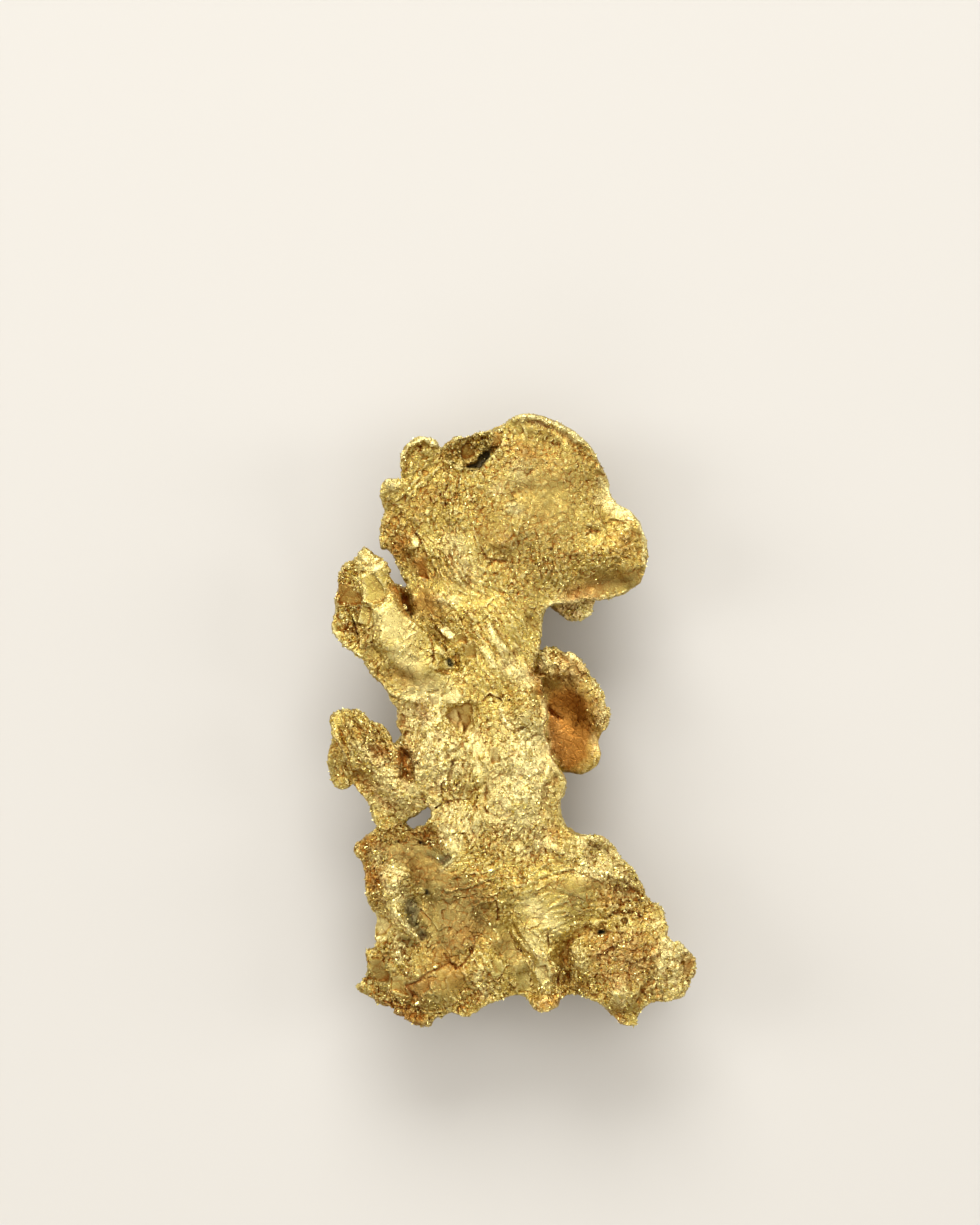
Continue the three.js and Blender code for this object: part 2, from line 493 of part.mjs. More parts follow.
function columnUnderLeaf() {
  return leafGeometry({
    corners: [
      [-2.2, 5.6], [-1.0, 5.9], [0.1, 5.2], [-0.1, 4.0], [0.7, 3.2], [0.3, 2.0], [1.0, 0.9],
      [0.5, -0.6], [1.2, -1.8], [1.4, -3.2], [0.8, -4.4], [1.1, -5.6], [-0.2, -6.2],
      [-1.5, -5.5], [-2.7, -5.2], [-2.4, -3.8], [-3.1, -2.8], [-2.9, -1.2], [-3.5, 0.2],
      [-2.9, 1.6], [-3.2, 2.8], [-2.4, 3.8], [-2.9, 4.8],
    ],
    frontSpots: [
      [-1.2, 5.0, 3.2], [-2.2, 3.2, 2.7], [-0.6, 2.6, 2.9], [-1.8, 0.6, 2.4], [0.0, 0.0, 2.7],
      [-1.6, -2.2, 2.4], [0.6, -2.4, 3.4], [0.4, -3.6, 3.4], [-0.8, -4.8, 3.2],
      [-2.2, -4.4, 3.0],
    ],
    thickness: 1.1,
    features: [ridge([[-2.6, 2.2], [-1.0, 1.0], [0.2, -1.0], [0.6, -3.4]], 0.6, -0.3)],
  });
}

// Flat crystal plates grown on the underside: [x, y, z, radius, sides, tilt about X, about Y].
const PLATES = [
  [-1.9, 7.1, 2.0, 1.2, 6, 0.5, -0.35], [1.7, 8.2, 1.3, 1.1, 3, -0.4, 0.35],
  [-2.7, 9.3, 1.8, 1.0, 3, -0.3, -0.4], [-0.9, 3.4, 1.8, 1.2, 6, 0.3, 0.4],
  [-1.9, 0.4, 1.3, 1.3, 3, -0.25, -0.35], [0.0, -2.0, 1.4, 1.2, 6, 0.35, 0.3],
  [-1.4, -4.2, 1.7, 1.2, 3, -0.4, 0.25], [-3.2, -7.2, 1.7, 1.2, 3, 0.45, -0.35],
  [2.5, -7.4, 1.9, 1.3, 6, 0.4, 0.4], [5.0, -8.5, 1.2, 1.0, 3, -0.3, 0.45],
  [-1.0, -9.2, 2.0, 1.0, 6, -0.4, -0.3], [3.3, 7.1, 2.2, 1.1, 6, 0.3, 0.45],
];
const PLATE_THICKNESS = 0.4;

function plate([x, y, z, radius, sides, tiltX, tiltY]) {
  const geometry = new THREE.CylinderGeometry(0.85 * radius, radius, PLATE_THICKNESS, sides);
  geometry.rotateX(-Math.PI / 2);
  geometry.scale(1, 0.72, 1);
  geometry.rotateZ(jitter(Math.PI));
  geometry.rotateX(tiltX);
  geometry.rotateY(tiltY);
  geometry.translate(x, y, z);
  return geometry;
}

// ---------------------------------------------------------------- small crystals

// Small octahedral crystals that stand half out of the front: [x, y, size].
const CRYSTALS = [
  [-2.55, 3.45, 1.2], [-3.85, 7.1, 1.0], [-5.25, 6.05, 1.1], [-4.8, 9.35, 1.1], [-1.9, 0.9, 1.1],
  [-1.0, -1.6, 1.2], [-2.4, -2.0, 1.2], [1.5, -2.5, 1.1], [-3.3, -0.6, 1.1], [-4.65, -2.7, 1.3],
  [-5.0, -1.5, 0.9], [2.6, -5.5, 1.2], [4.2, -6.2, 1.3], [-0.8, -6.05, 1.1], [-3.3, -5.8, 1.0],
  [-5.5, -5.9, 1.2], [-4.9, -9.0, 1.0], [-3.9, -11.5, 1.1], [4.2, -10.9, 1.4],
  [6.7, -10.6, 1.2], [5.1, -7.7, 1.2], [6.2, -9.5, 1.2], [3.4, -4.9, 1.1], [1.6, 2.3, 1.1],
  [2.6, 4.2, 1.1], [-6.3, 0.1, 1.1],
];

// How high the front of a mesh is at a place.
function frontHeight(mesh, x, y) {
  const down = new THREE.Raycaster(new THREE.Vector3(x, y, 20), new THREE.Vector3(0, 0, -1));
  return down.intersectObject(mesh)[0].point.z;
}

function crystal([x, y, size], leaves) {
  const radius = CRYSTAL_SIZE * size;
  const geometry = new THREE.OctahedronGeometry(radius);
  geometry.scale(1.3, 0.8, 0.7);
  geometry.rotateX(jitter(0.9));
  geometry.rotateY(jitter(0.9));
  geometry.rotateZ(jitter(Math.PI));
  geometry.translate(x, y, frontHeight(leaves, x, y) - 0.25 * radius);
  return geometry;
}

// ---------------------------------------------------------------- joining

const wasm = await Module();
wasm.setup();

function solidFrom(geometry) {
  const bare = geometry.clone();
  bare.deleteAttribute('normal');
  bare.deleteAttribute('uv');
  const merged = mergeVertices(bare, 1e-5);
  return new wasm.Manifold(
    new wasm.Mesh({
      numProp: 3,
      vertProperties: new Float32Array(merged.attributes.position.array),
      triVerts: new Uint32Array(merged.index.array),
    }),
  );
}

function geometryFrom(solid) {
  const mesh = solid.getMesh();
  const geometry = new THREE.BufferGeometry();
  geometry.setAttribute('position', new THREE.BufferAttribute(mesh.vertProperties, 3));
  geometry.setIndex(new THREE.BufferAttribute(mesh.triVerts, 1));
  return geometry;
}

// Everything below the resting plane is taken off, which leaves the worn spots it lies on.
function belowRestingPlane() {
  const block = new THREE.BoxGeometry(40, 40, 10);
  block.translate(0, 0, -5);
  return block;
}

function join(geometries) {
  return geometries.map(solidFrom).reduce((whole, solid) => whole.add(solid));
}

// The solid inside a shape's outermost skin, so that no hollow stays sealed between two leaves.
function withoutSealedHollows(solid) {
  return solid.decompose().sort((a, b) => b.volume() - a.volume())[0];
}

const leaves = join([
  mainLeaf(), pocketLeaf(), upperBlade(), lowerBlade(), sideFlake(), web(), backLeaf(), nub(),
  crownUnderLeaf(), baseUnderLeaf(), columnUnderLeaf(), ...PLATES.map(plate),
]);
const leafMesh = new THREE.Mesh(geometryFrom(leaves));
const crystals = join(CRYSTALS.map((spot) => crystal(spot, leafMesh)));
const whole = leaves.add(crystals).subtract(solidFrom(belowRestingPlane()));
const geometry = geometryFrom(withoutSealedHollows(whole));
geometry.computeBoundingBox();
const middle = geometry.boundingBox.getCenter(new THREE.Vector3());
geometry.translate(-middle.x, -middle.y, 0);
geometry.computeVertexNormals();

const gold = new THREE.MeshStandardMaterial({
  color: 0xd9a94a,
  roughness: 0.35,
  metalness: 1.0,
  flatShading: true,
});
const piece = new THREE.Mesh(geometry, gold);
piece.name = 'leaf_gold';

const group = new THREE.Group();
group.add(piece);

export default group;
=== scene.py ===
"""A piece of native leaf gold on a plain pale table, seen from straight above."""

import math
from functools import partial

import bmesh
import bpy
import numpy as np
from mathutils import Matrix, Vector


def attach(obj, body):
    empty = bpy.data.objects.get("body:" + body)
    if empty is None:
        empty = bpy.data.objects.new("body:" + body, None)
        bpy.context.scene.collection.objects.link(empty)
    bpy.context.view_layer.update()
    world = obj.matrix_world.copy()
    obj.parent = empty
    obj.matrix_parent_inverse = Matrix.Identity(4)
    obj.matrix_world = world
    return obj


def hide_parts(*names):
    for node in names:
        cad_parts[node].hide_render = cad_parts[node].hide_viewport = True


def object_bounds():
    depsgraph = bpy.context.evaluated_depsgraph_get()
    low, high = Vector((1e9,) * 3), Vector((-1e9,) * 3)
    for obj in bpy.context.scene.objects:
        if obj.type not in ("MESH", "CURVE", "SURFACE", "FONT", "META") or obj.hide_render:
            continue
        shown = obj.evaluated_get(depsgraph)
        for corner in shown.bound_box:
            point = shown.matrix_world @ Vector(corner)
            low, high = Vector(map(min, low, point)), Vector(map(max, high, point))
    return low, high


bl_info = {
    "name": "Leaf gold specimen",
    "version": (1, 0, 0),
    "blender": (4, 5, 0),
    "location": "View3D > Sidebar > Leaf gold",
    "description": "Builds the skin and the loose crystals of a leaf gold specimen round its solid",
    "category": "Object",
}

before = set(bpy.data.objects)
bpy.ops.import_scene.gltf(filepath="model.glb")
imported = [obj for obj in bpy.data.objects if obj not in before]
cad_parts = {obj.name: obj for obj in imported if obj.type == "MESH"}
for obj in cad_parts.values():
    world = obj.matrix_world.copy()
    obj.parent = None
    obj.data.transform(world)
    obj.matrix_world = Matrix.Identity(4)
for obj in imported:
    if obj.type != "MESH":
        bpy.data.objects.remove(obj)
CAD_LOW, CAD_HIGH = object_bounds()
NODE = "leaf_gold"

MM = 0.001
# The relief below is drawn on a sheet whose middle lies here from the solid's own middle (mm).
DRAWN_MIDDLE = (-0.02, -0.05)

# The skin's own sizes, in mm.
COLUMN_SIDE = 0.15  # of the upright columns that tell what lies on top
COVERED_DEPTH = 0.45  # below a column's top, where a corner starts to count as covered
COVERED_FADE = 0.2
RIM_TO_FACE = (0.55, 0.8)  # upright share of a normal: on a rim's side, and on a leaf's face
SHARE_BEHIND = 0.3  # of the triangles, first left to the sides and the back
SHARP_ANGLE = math.radians(34)  # between two faces that meet in a crisp edge

# How far the drawn lines of each kind wander, in mm.
RELIEF_WANDER = 0.06
FACE_WANDER = 0.04
TEXTURE_WANDER = 0.08
TONE_WANDER = 0.07

# Pressed faces, ledges and hollows, in mm.
FACE_REACH = 0.1
FACE_WALL = (-0.03, 0.05)  # depths inside the outline over which a face sets in
FACE_FLATNESS = 0.85
LEDGE_WALL = 0.04
SHADE_WALL = 0.02  # depth inside a gap's outline where it is fully dark
CRACK_DEPTH = 0.7  # of the depth in the list
CRACK_STAIN = 0.6  # of the width in the list
# How deep a corner lies in a hollow. From these the metal paints shade into the hollows and a highlight
# on the crests.
HOLLOWS = {"fine_hollow": (3, -0.02, 0.03), "wide_hollow": (24, -0.06, 0.14)}  # rounds, depths

# Noise of the crumpled leaves: (size, height of a swell or slope of a facet, seed).
SWELLS = [(1.6, 0.035, 21), (0.7, 0.015, 22)]
LARGE_FACETS = (0.9, 0.13, 31)
MIDDLE_FACETS = (0.45, 0.22, 32)
SMALL_FACETS = (0.24, 0.34, 33)
ROUND_GRAINS = (0.24, 0.6, 41)  # size, middle height, seed
GRAIN_HEIGHT = (0.01, 0.035)  # on smooth gold, and what grit adds
GRAIN_BLEND = 0.5  # how softly two directions of grain meet, in square mm
LEAST_WEIGHT = 0.1  # of a direction that still counts at a corner

# How gritty and how lumpy the gold is where nothing is drawn, from 0 to 1.
USUAL_GRIT = 0.25
USUAL_LUMPS = 0.12
USUAL_GRAIN = 0.3
GRIT_IN_PATCHES = 0.3
GRIT_BEHIND = 0.3
LUMPS_BEHIND = 0.6
# How much less of each there is on satin gold.
SATIN_GRIT = 0.8
SATIN_LUMPS = 0.7
SATIN_GRAIN = 0.6

# Noise that bends the striations, in mm: (size, shift, seed).
RIDGE_BENDS = [(0.9, 0.08, 13), (0.3, 0.05, 14)]

# Growth rings on the lower left of the crown.
GROWTH_CENTRE = (0.0, 8.0)
GROWTH_SPACING = 0.27
GROWTH_HEIGHT = 0.016
GROWTH_START = (1.9, 2.3)  # from the centre, where the rings fade in
GROWTH_END = (3.3, 3.7)  # and out

# The metal's fine patterns, in cells to the mm, and its gloss.
GRAIN_CELLS = 12.0
PLATE_CELLS = 4.5
CREVICE_CELLS = 3.3
CLUMP_CELLS = 2.2  # clumps of loose crystals
GRAIN_DOME = 0.035  # height of the finest grains, in mm
LEAST_ROUGHNESS = 0.18
ROUGHNESS_RANGE = 0.27  # between the glossiest and the dullest grain
DULLING = 0.12  # what a full stain or film adds to the roughness
CRYSTAL_ROUGHNESS = 0.24

# Length, width and height of the smallest and the largest crystals over the usual size.
SMALLEST_CRYSTAL = (0.5, 0.3, 0.3)
LARGEST_CRYSTAL = (2.4, 1.1, 0.8)


# ---------------------------------------------------------------- small helpers


def linear(colour):
    """An sRGB hex colour as linear red, green, blue and alpha."""
    channels = [int(colour[i : i + 2], 16) / 255 for i in (1, 3, 5)]
    return [c / 12.92 if c <= 0.04045 else ((c + 0.055) / 1.055) ** 2.4 for c in channels] + [1.0]


def add_node(tree, kind, settings=None, inputs=(), out=0):
    """Adds a node and gives back one of its outputs. Settings are its properties. Inputs are values
    or other nodes' outputs, in order or by name."""
    node = tree.nodes.new(kind)
    for key, value in (settings or {}).items():
        setattr(node, key, value)
    named = inputs if isinstance(inputs, dict) else dict(enumerate(inputs))
    for key, value in named.items():
        if isinstance(value, bpy.types.NodeSocket):
            tree.links.new(value, node.inputs[key])
        else:
            node.inputs[key].default_value = value
    return node.outputs[out] if node.outputs else None


def in_scene(name, data):
    """A new object in the scene that shows the data."""
    obj = bpy.data.objects.new(name, data)
    bpy.context.scene.collection.objects.link(obj)
    return obj


def fade(values, low, high):
    """Zero below low and one above high, with a smooth step between."""
    t = np.clip((values - low) / (high - low), 0.0, 1.0)
    return t * t * (3 - 2 * t)


# ---------------------------------------------------------------- seeded noise over points

# Whole numbers that mix a cell's place and a seed into bits that look random.
PLACE_MIXERS = (73856093, 19349663, 83492791)
SEED_MIXER = 2654435761
BIT_MIXERS = (0x7FEB352D, 0x846CA68B)
LARGEST = 4294967295


def hashed(cells, seed):
    """Three steady random numbers from 0 to 1 for each whole-numbered cell."""
    state = np.full(len(cells), seed * SEED_MIXER % (LARGEST + 1), dtype=np.uint32)
    for i, mixer in enumerate(PLACE_MIXERS):
        state ^= cells[:, i].astype(np.int64).astype(np.uint32) * np.uint32(mixer)
    numbers = []
    for _ in range(3):
        state = state ^ (state >> np.uint32(16))
        state = state * np.uint32(BIT_MIXERS[0])
        state = state ^ (state >> np.uint32(15))
        state = state * np.uint32(BIT_MIXERS[1])
        state = state ^ (state >> np.uint32(16))
        numbers.append(state.astype(np.float64) / float(LARGEST))
    return np.stack(numbers, axis=1)


def smooth_noise(points, size, seed):
    """Soft noise from -1 to 1 with lumps about as large as size."""
    scaled = points / size
    base = np.floor(scaled)
    part = scaled - base
    part = part * part * (3 - 2 * part)
    total = np.zeros(len(points))
    for corner in np.ndindex(2, 2, 2):
        step = np.array(corner)
        weight = np.prod(np.where(step == 1, part, 1 - part), axis=1)
        total += weight * hashed(base + step, seed)[:, 0]
    return 2 * total - 1


def cell_noise(points, size, seed):
    """For each point: its cell's middle, its cell's random numbers and the distance to its border."""
    scaled = points / size
    base = np.floor(scaled)
    nearest = np.full(len(points), np.inf)
    second = np.full(len(points), np.inf)
    middle = np.zeros_like(points)
    numbers = np.zeros_like(points)
    for corner in np.ndindex(3, 3, 3):
        cell = base + np.array(corner) - 1
        centre = cell + 0.1 + 0.8 * hashed(cell, seed)
        distance = np.linalg.norm(scaled - centre, axis=1)
        closer = distance < nearest
        second = np.where(closer, nearest, np.minimum(second, distance))
        nearest = np.where(closer, distance, nearest)
        middle[closer] = centre[closer] * size
        numbers[closer] = hashed(cell[closer], seed + 101)
    return middle, numbers, (second - nearest) * size


def facets(points, size, steepness, seed):
    """The height of flat facets, each with a tilt of its own, over cells of a size."""
    middle, numbers, _ = cell_noise(points, size, seed)
    tilt = (2 * numbers - 1) * steepness
    return np.sum((points - middle) * tilt, axis=1)


def grains(points, size, middle, seed):
    """The height of round grains, about 1 from their seams to their tops, round a middle height."""
    _, _, border = cell_noise(points, size, seed)
    return np.sqrt(np.clip(border / (0.6 * size), 0.0, 1.0)) - middle


# ---------------------------------------------------------------- measuring the drawn lines


def near_points(x, y, line, reach):
    """The numbers of the points that lie in a line's box, grown by a reach."""
    xs, ys = zip(*line)
    across = (x > min(xs) - reach) & (x < max(xs) + reach)
    return np.flatnonzero(across & (y > min(ys) - reach) & (y < max(ys) + reach))


def measured(x, y, line):
    """For each point: its distance from a line, its side (1 on the left, -1 on the right) and how
    far along the line it is, from 0 to 1. A line of one point is a spot."""
    if len(line) == 1:
        away = np.hypot(x - line[0][0], y - line[0][1])
        return away, np.ones(len(x)), np.full(len(x), 0.5)
    nearest = np.full(len(x), np.inf)
    side = np.zeros(len(x))
    share = np.zeros(len(x))
    whole = sum(math.dist(a, b) for a, b in zip(line, line[1:]))
    passed = 0.0
    for (ax, ay), (bx, by) in zip(line, line[1:]):
        length = math.hypot(bx - ax, by - ay)
        along = np.clip(((x - ax) * (bx - ax) + (y - ay) * (by - ay)) / length**2, 0.0, 1.0)
        away = np.hypot(x - ax - along * (bx - ax), y - ay - along * (by - ay))
        left = (bx - ax) * (y - ay) - (by - ay) * (x - ax)
        closer = away < nearest
        nearest = np.where(closer, away, nearest)
        side = np.where(closer, np.sign(left), side)
        share = np.where(closer, (passed + along * length) / whole, share)
        passed += length
    return nearest, side, share


def depth_inside(x, y, corners):
    """How far inside an outline each point is, negative outside."""
    closed = corners + corners[:1]
    inside = np.zeros(len(x), dtype=bool)
    for (ax, ay), (bx, by) in zip(closed, closed[1:]):
        if ay != by:
            crossing = ax + (y - ay) * (bx - ax) / (by - ay)
            inside ^= ((ay > y) != (by > y)) & (x < crossing)
    away, _, _ = measured(x, y, closed)
    return np.where(inside, away, -away)


def raised_line(x, y, line, width):
    """The points near a line, and a rounded ridge along it, 1 at its crest."""
    near = near_points(x, y, line, 3 * width)
    away, _, _ = measured(x[near], y[near], line)
    return near, np.exp(-((away / width) ** 2))


def filled(x, y, corners, outer, inner):
    """The points near an outline, and how much they are in it, from 0 outside to 1 inside."""
    near = near_points(x, y, corners, outer)
    return near, fade(depth_inside(x[near], y[near], corners), -outer, inner)


def painted(x, y, name):
    """How much of a tone or a texture is drawn at each point, from 0 to 1."""
    value = np.zeros(len(x))
    for amount, width, line in MARKS.get(name, []):
        near, ridge = raised_line(x, y, line, width)
        value[near] = np.maximum(value[near], amount * ridge)
    for corners, what in PLACES:
        if name in what:
            amount, edge = what[name]
            near, inside = filled(x, y, corners, edge, edge)
            value[near] = np.maximum(value[near], amount * inside)
    return value


# ---------------------------------------------------------------- the drawn surface, in mm

# Ridges and grooves on the front: (width, height, line).
FOLDS = [
    # lip of the crown, rim of its left lobe, lip of the pocket
    (0.16, 0.13, [(0.1, 12.1), (0.9, 12.1), (1.6, 11.85), (2.5, 11.4), (3.1, 10.9), (3.6, 10.1)]),
    (0.12, -0.1, [(0.7, 11.85), (1.1, 11.85), (1.5, 11.7), (2.3, 11.25), (2.9, 10.6)]),
    (0.14, 0.14, [(-4.4, 9.9), (-4.4, 10.4), (-4.05, 10.95), (-3.5, 11.2), (-3.1, 11.05)]),
    (0.14, -0.12, [(-4.3, 9.7), (-4.2, 10.2), (-4.0, 10.6), (-3.5, 10.95)]),
    (0.08, 0.05, [(-4.3, 8.95), (-3.85, 9.6), (-3.4, 10.2)]),
    (0.07, 0.05, [(-4.05, 8.95), (-3.65, 9.45), (-3.3, 9.8)]),
    (0.07, 0.05, [(-3.8, 9.1), (-3.4, 9.6), (-2.9, 10.1)]),
    (0.1, 0.14, [(-2.65, 10.35), (-2.2, 10.15), (-1.9, 10.1), (-1.55, 10.15)]),
    (0.12, 0.12, [(-2.7, 11.0), (-2.2, 11.3), (-1.5, 11.4), (-0.9, 11.6)]),
    # the shallow hollow in the crown's middle
    (0.4, -0.1, [(-1.1, 9.0), (-0.9, 7.8), (-1.0, 7.0)]),
    (0.25, -0.09, [(0.1, 9.0), (0.5, 9.25), (0.9, 9.1)]),
    (0.12, -0.1, [(3.05, 7.65), (3.25, 7.6), (3.45, 7.45)]),
    # concentric growth ridges below it
    (0.05, 0.05, [(-3.05, 8.1), (-2.95, 7.7), (-2.85, 7.4)]),
    (0.07, 0.09, [(-2.7, 7.3), (-2.62, 6.7), (-2.45, 6.1), (-2.1, 5.55)]),
    (0.07, 0.08, [(-2.42, 6.8), (-2.25, 6.2), (-1.95, 5.7), (-1.6, 5.35)]),
    (0.06, 0.04, [(-2.15, 6.6), (-1.9, 6.0), (-1.5, 5.6)]),
    # the right lobe: its shelf, its rim and the band under it
    (0.2, -0.08, [(3.7, 8.9), (3.6, 8.2), (3.9, 7.9), (4.8, 7.9)]),
    (0.1, 0.1, [(5.15, 7.8), (5.3, 7.3), (5.33, 6.7), (5.25, 6.2)]),
    (0.35, -0.12, [(2.3, 5.0), (3.2, 5.3), (4.2, 5.5), (5.0, 5.8)]),
    # folds of the neck, upper left to lower right
    (0.1, 0.08, [(-0.95, 3.8), (-0.6, 3.35), (-0.3, 2.85)]),
    (0.08, 0.06, [(-0.75, 3.3), (-0.4, 2.7)]),
    (0.1, 0.08, [(-1.25, 2.85), (-0.95, 2.55), (-0.65, 2.15)]),
    (0.14, -0.09, [(-1.1, 3.3), (-0.8, 2.9), (-0.55, 2.5)]),
    (0.12, 0.08, [(-2.0, 4.5), (-1.6, 4.0), (-1.3, 3.4)]),
    (0.12, -0.08, [(-2.3, 4.4), (-1.9, 3.9), (-1.6, 3.3)]),
    (0.08, -0.07, [(-3.3, 3.4), (-3.12, 2.9), (-3.1, 2.35)]),
    (0.12, -0.14, [(-2.85, 2.0), (-2.5, 1.95), (-2.1, 2.0)]),
    (0.2, -0.2, [(-4.7, 5.3), (-4.45, 4.85), (-4.2, 4.4)]),
    (0.12, 0.08, [(-2.9, 5.0), (-2.4, 4.7), (-2.1, 4.2)]),
    # column: the round shell, the strokes beside it and the grooves round the crest
    (0.07, 0.07, [(-0.4, 0.35), (-0.35, 0.0), (-0.15, -0.3), (0.1, -0.42)]),
    (0.07, -0.08, [(0.1, -0.48), (0.45, -0.32), (0.75, -0.22)]),
    (0.08, 0.08, [(1.15, 0.95), (1.38, 0.6), (1.4, 0.2), (1.25, -0.15)]),
    (0.07, -0.06, [(0.95, 0.85), (1.15, 0.5), (1.15, 0.1)]),
    (0.08, 0.07, [(-2.85, -0.1), (-2.9, -0.6), (-2.75, -1.1)]),
    (0.08, 0.07, [(-1.4, -0.1), (-1.45, -0.5), (-1.55, -0.95)]),
    (0.08, 0.08, [(-2.0, -0.7), (-1.85, -1.05), (-1.7, -1.45)]),
    (0.08, 0.08, [(-1.3, -1.4), (-1.1, -1.7), (-0.95, -1.95)]),
    (0.08, -0.08, [(-2.3, -1.75), (-2.5, -2.2), (-2.8, -2.65)]),
    (0.08, -0.08, [(-2.1, -2.5), (-2.5, -2.8), (-2.7, -3.0)]),
    (0.08, -0.08, [(-1.05, -2.4), (-1.0, -2.9), (-1.15, -3.3), (-1.0, -3.7)]),
    (0.07, 0.08, [(1.42, -1.9), (1.35, -2.25), (1.18, -2.6)]),
    (0.14, -0.12, [(1.75, -2.3), (1.35, -2.9), (1.25, -3.8)]),
    (0.12, 0.1, [(-3.75, -1.4), (-3.6, -1.9), (-3.75, -2.4)]),
    (0.1, -0.1, [(-4.3, 0.1), (-4.3, -0.4), (-4.1, -0.9)]),
    # upper blade: a groove in its left side
    (0.1, -0.12, [(-6.35, 4.1), (-6.2, 3.7), (-6.05, 3.3)]),
    (0.1, -0.08, [(-5.75, 3.4), (-5.6, 3.0), (-5.2, 2.4)]),
    # lower blade: long striations and a dark valley
    (0.1, 0.1, [(-6.6, -0.1), (-6.1, -1.0), (-5.5, -1.9), (-5.0, -2.6)]),
    (0.1, -0.1, [(-6.35, 0.0), (-5.85, -0.9), (-5.3, -1.7)]),
    (0.1, 0.08, [(-6.1, 0.1), (-5.6, -0.7), (-5.1, -1.3)]),
    (0.18, -0.18, [(-6.2, -2.2), (-5.6, -2.7), (-4.9, -3.4)]),
    (0.14, -0.14, [(-6.9, -0.4), (-6.6, -1.2), (-6.5, -2.0)]),
    # back leaf
    (0.06, -0.08, [(1.5, 0.45), (1.75, 0.2), (2.05, -0.02)]),
    (0.14, 0.06, [(2.0, 2.65), (2.7, 2.3), (3.2, 1.6), (3.6, 0.9), (3.75, 0.1)]),
    (0.5, -0.05, [(2.3, 0.6), (2.5, -0.4), (2.4, -1.3)]),
    # base: cream ridge, the grey valley beside it and the bright ridge above
    (0.3, 0.1, [(-4.75, -6.5), (-4.65, -7.5), (-4.3, -8.1)]),
    (0.24, -0.12, [(-4.95, -5.9), (-4.75, -6.6), (-4.7, -7.3)]),
    (0.14, 0.14, [(-4.5, -7.8), (-4.25, -8.25), (-3.9, -8.6)]),
    (0.2, -0.1, [(-4.1, -7.7), (-3.85, -8.0), (-3.5, -8.5)]),
    (0.35, 0.22, [(-4.05, -6.2), (-3.95, -7.0), (-3.95, -7.5)]),
    (0.2, -0.14, [(-4.4, -8.85), (-4.0, -8.95), (-3.8, -9.2)]),
    (0.06, 0.08, [(-2.85, -6.0), (-2.55, -5.75), (-2.3, -5.5)]),
    (0.14, 0.1, [(-5.2, -9.0), (-5.0, -9.6), (-4.7, -10.0)]),
    # base: strokes that rise to the right across the middle
    (0.06, 0.03, [(-2.6, -6.4), (-2.2, -6.3), (-1.6, -6.15)]),
    (0.06, 0.03, [(-2.6, -6.85), (-1.9, -6.75), (-1.2, -6.5)]),
    (0.05, 0.05, [(0.6, -6.3), (1.1, -5.95), (1.5, -5.65), (2.0, -5.3), (2.1, -5.0)]),
    (0.05, -0.05, [(0.9, -6.45), (1.6, -6.25), (2.4, -6.0)]),
    (0.05, 0.02, [(0.0, -7.35), (0.8, -7.2), (1.6, -7.2)]),
    (0.05, -0.05, [(1.9, -6.9), (2.3, -7.0), (2.6, -7.05)]),
    (0.05, 0.02, [(1.5, -7.45), (2.3, -7.2), (3.0, -7.05)]),
    (0.05, 0.02, [(1.0, -8.2), (1.8, -7.9), (2.8, -7.7)]),
    # base: the long smooth valley and the ridge beside it
    (0.3, 0.06, [(-1.1, -7.8), (-0.6, -8.4), (-0.1, -9.1), (0.1, -9.8), (0.5, -10.5)]),
    (0.1, 0.06, [(-0.5, -7.3), (-0.35, -8.1), (0.3, -8.9), (0.6, -9.6), (0.9, -10.2)]),
    (0.1, 0.08, [(-1.9, -9.8), (-1.75, -10.4), (-1.5, -11.1), (-1.3, -11.5)]),
    (0.18, -0.18, [(3.1, -8.4), (2.5, -8.6), (2.2, -9.1), (2.1, -9.9), (2.3, -10.3)]),
    (0.22, 0.14, [(1.6, -5.0), (2.2, -5.4), (2.8, -5.6), (3.3, -6.0), (4.4, -6.35)]),
    (0.14, -0.14, [(3.1, -5.0), (3.7, -5.25), (4.1, -5.6)]),
    (0.12, -0.12, [(4.0, -6.7), (4.5, -6.8), (5.0, -6.9)]),
    (0.12, -0.12, [(3.8, -7.95), (4.3, -7.7), (4.9, -7.65)]),
    (0.12, -0.1, [(5.45, -10.4), (5.2, -10.9), (5.1, -11.2)]),
    (0.1, -0.1, [(1.0, -11.1), (1.3, -10.95), (1.8, -11.0)]),
    (0.1, 0.1, [(-5.9, -10.9), (-5.0, -11.4), (-4.2, -12.0), (-3.5, -12.2)]),
    (0.12, -0.1, [(-5.4, -10.8), (-4.7, -11.15), (-3.9, -11.6)]),
]

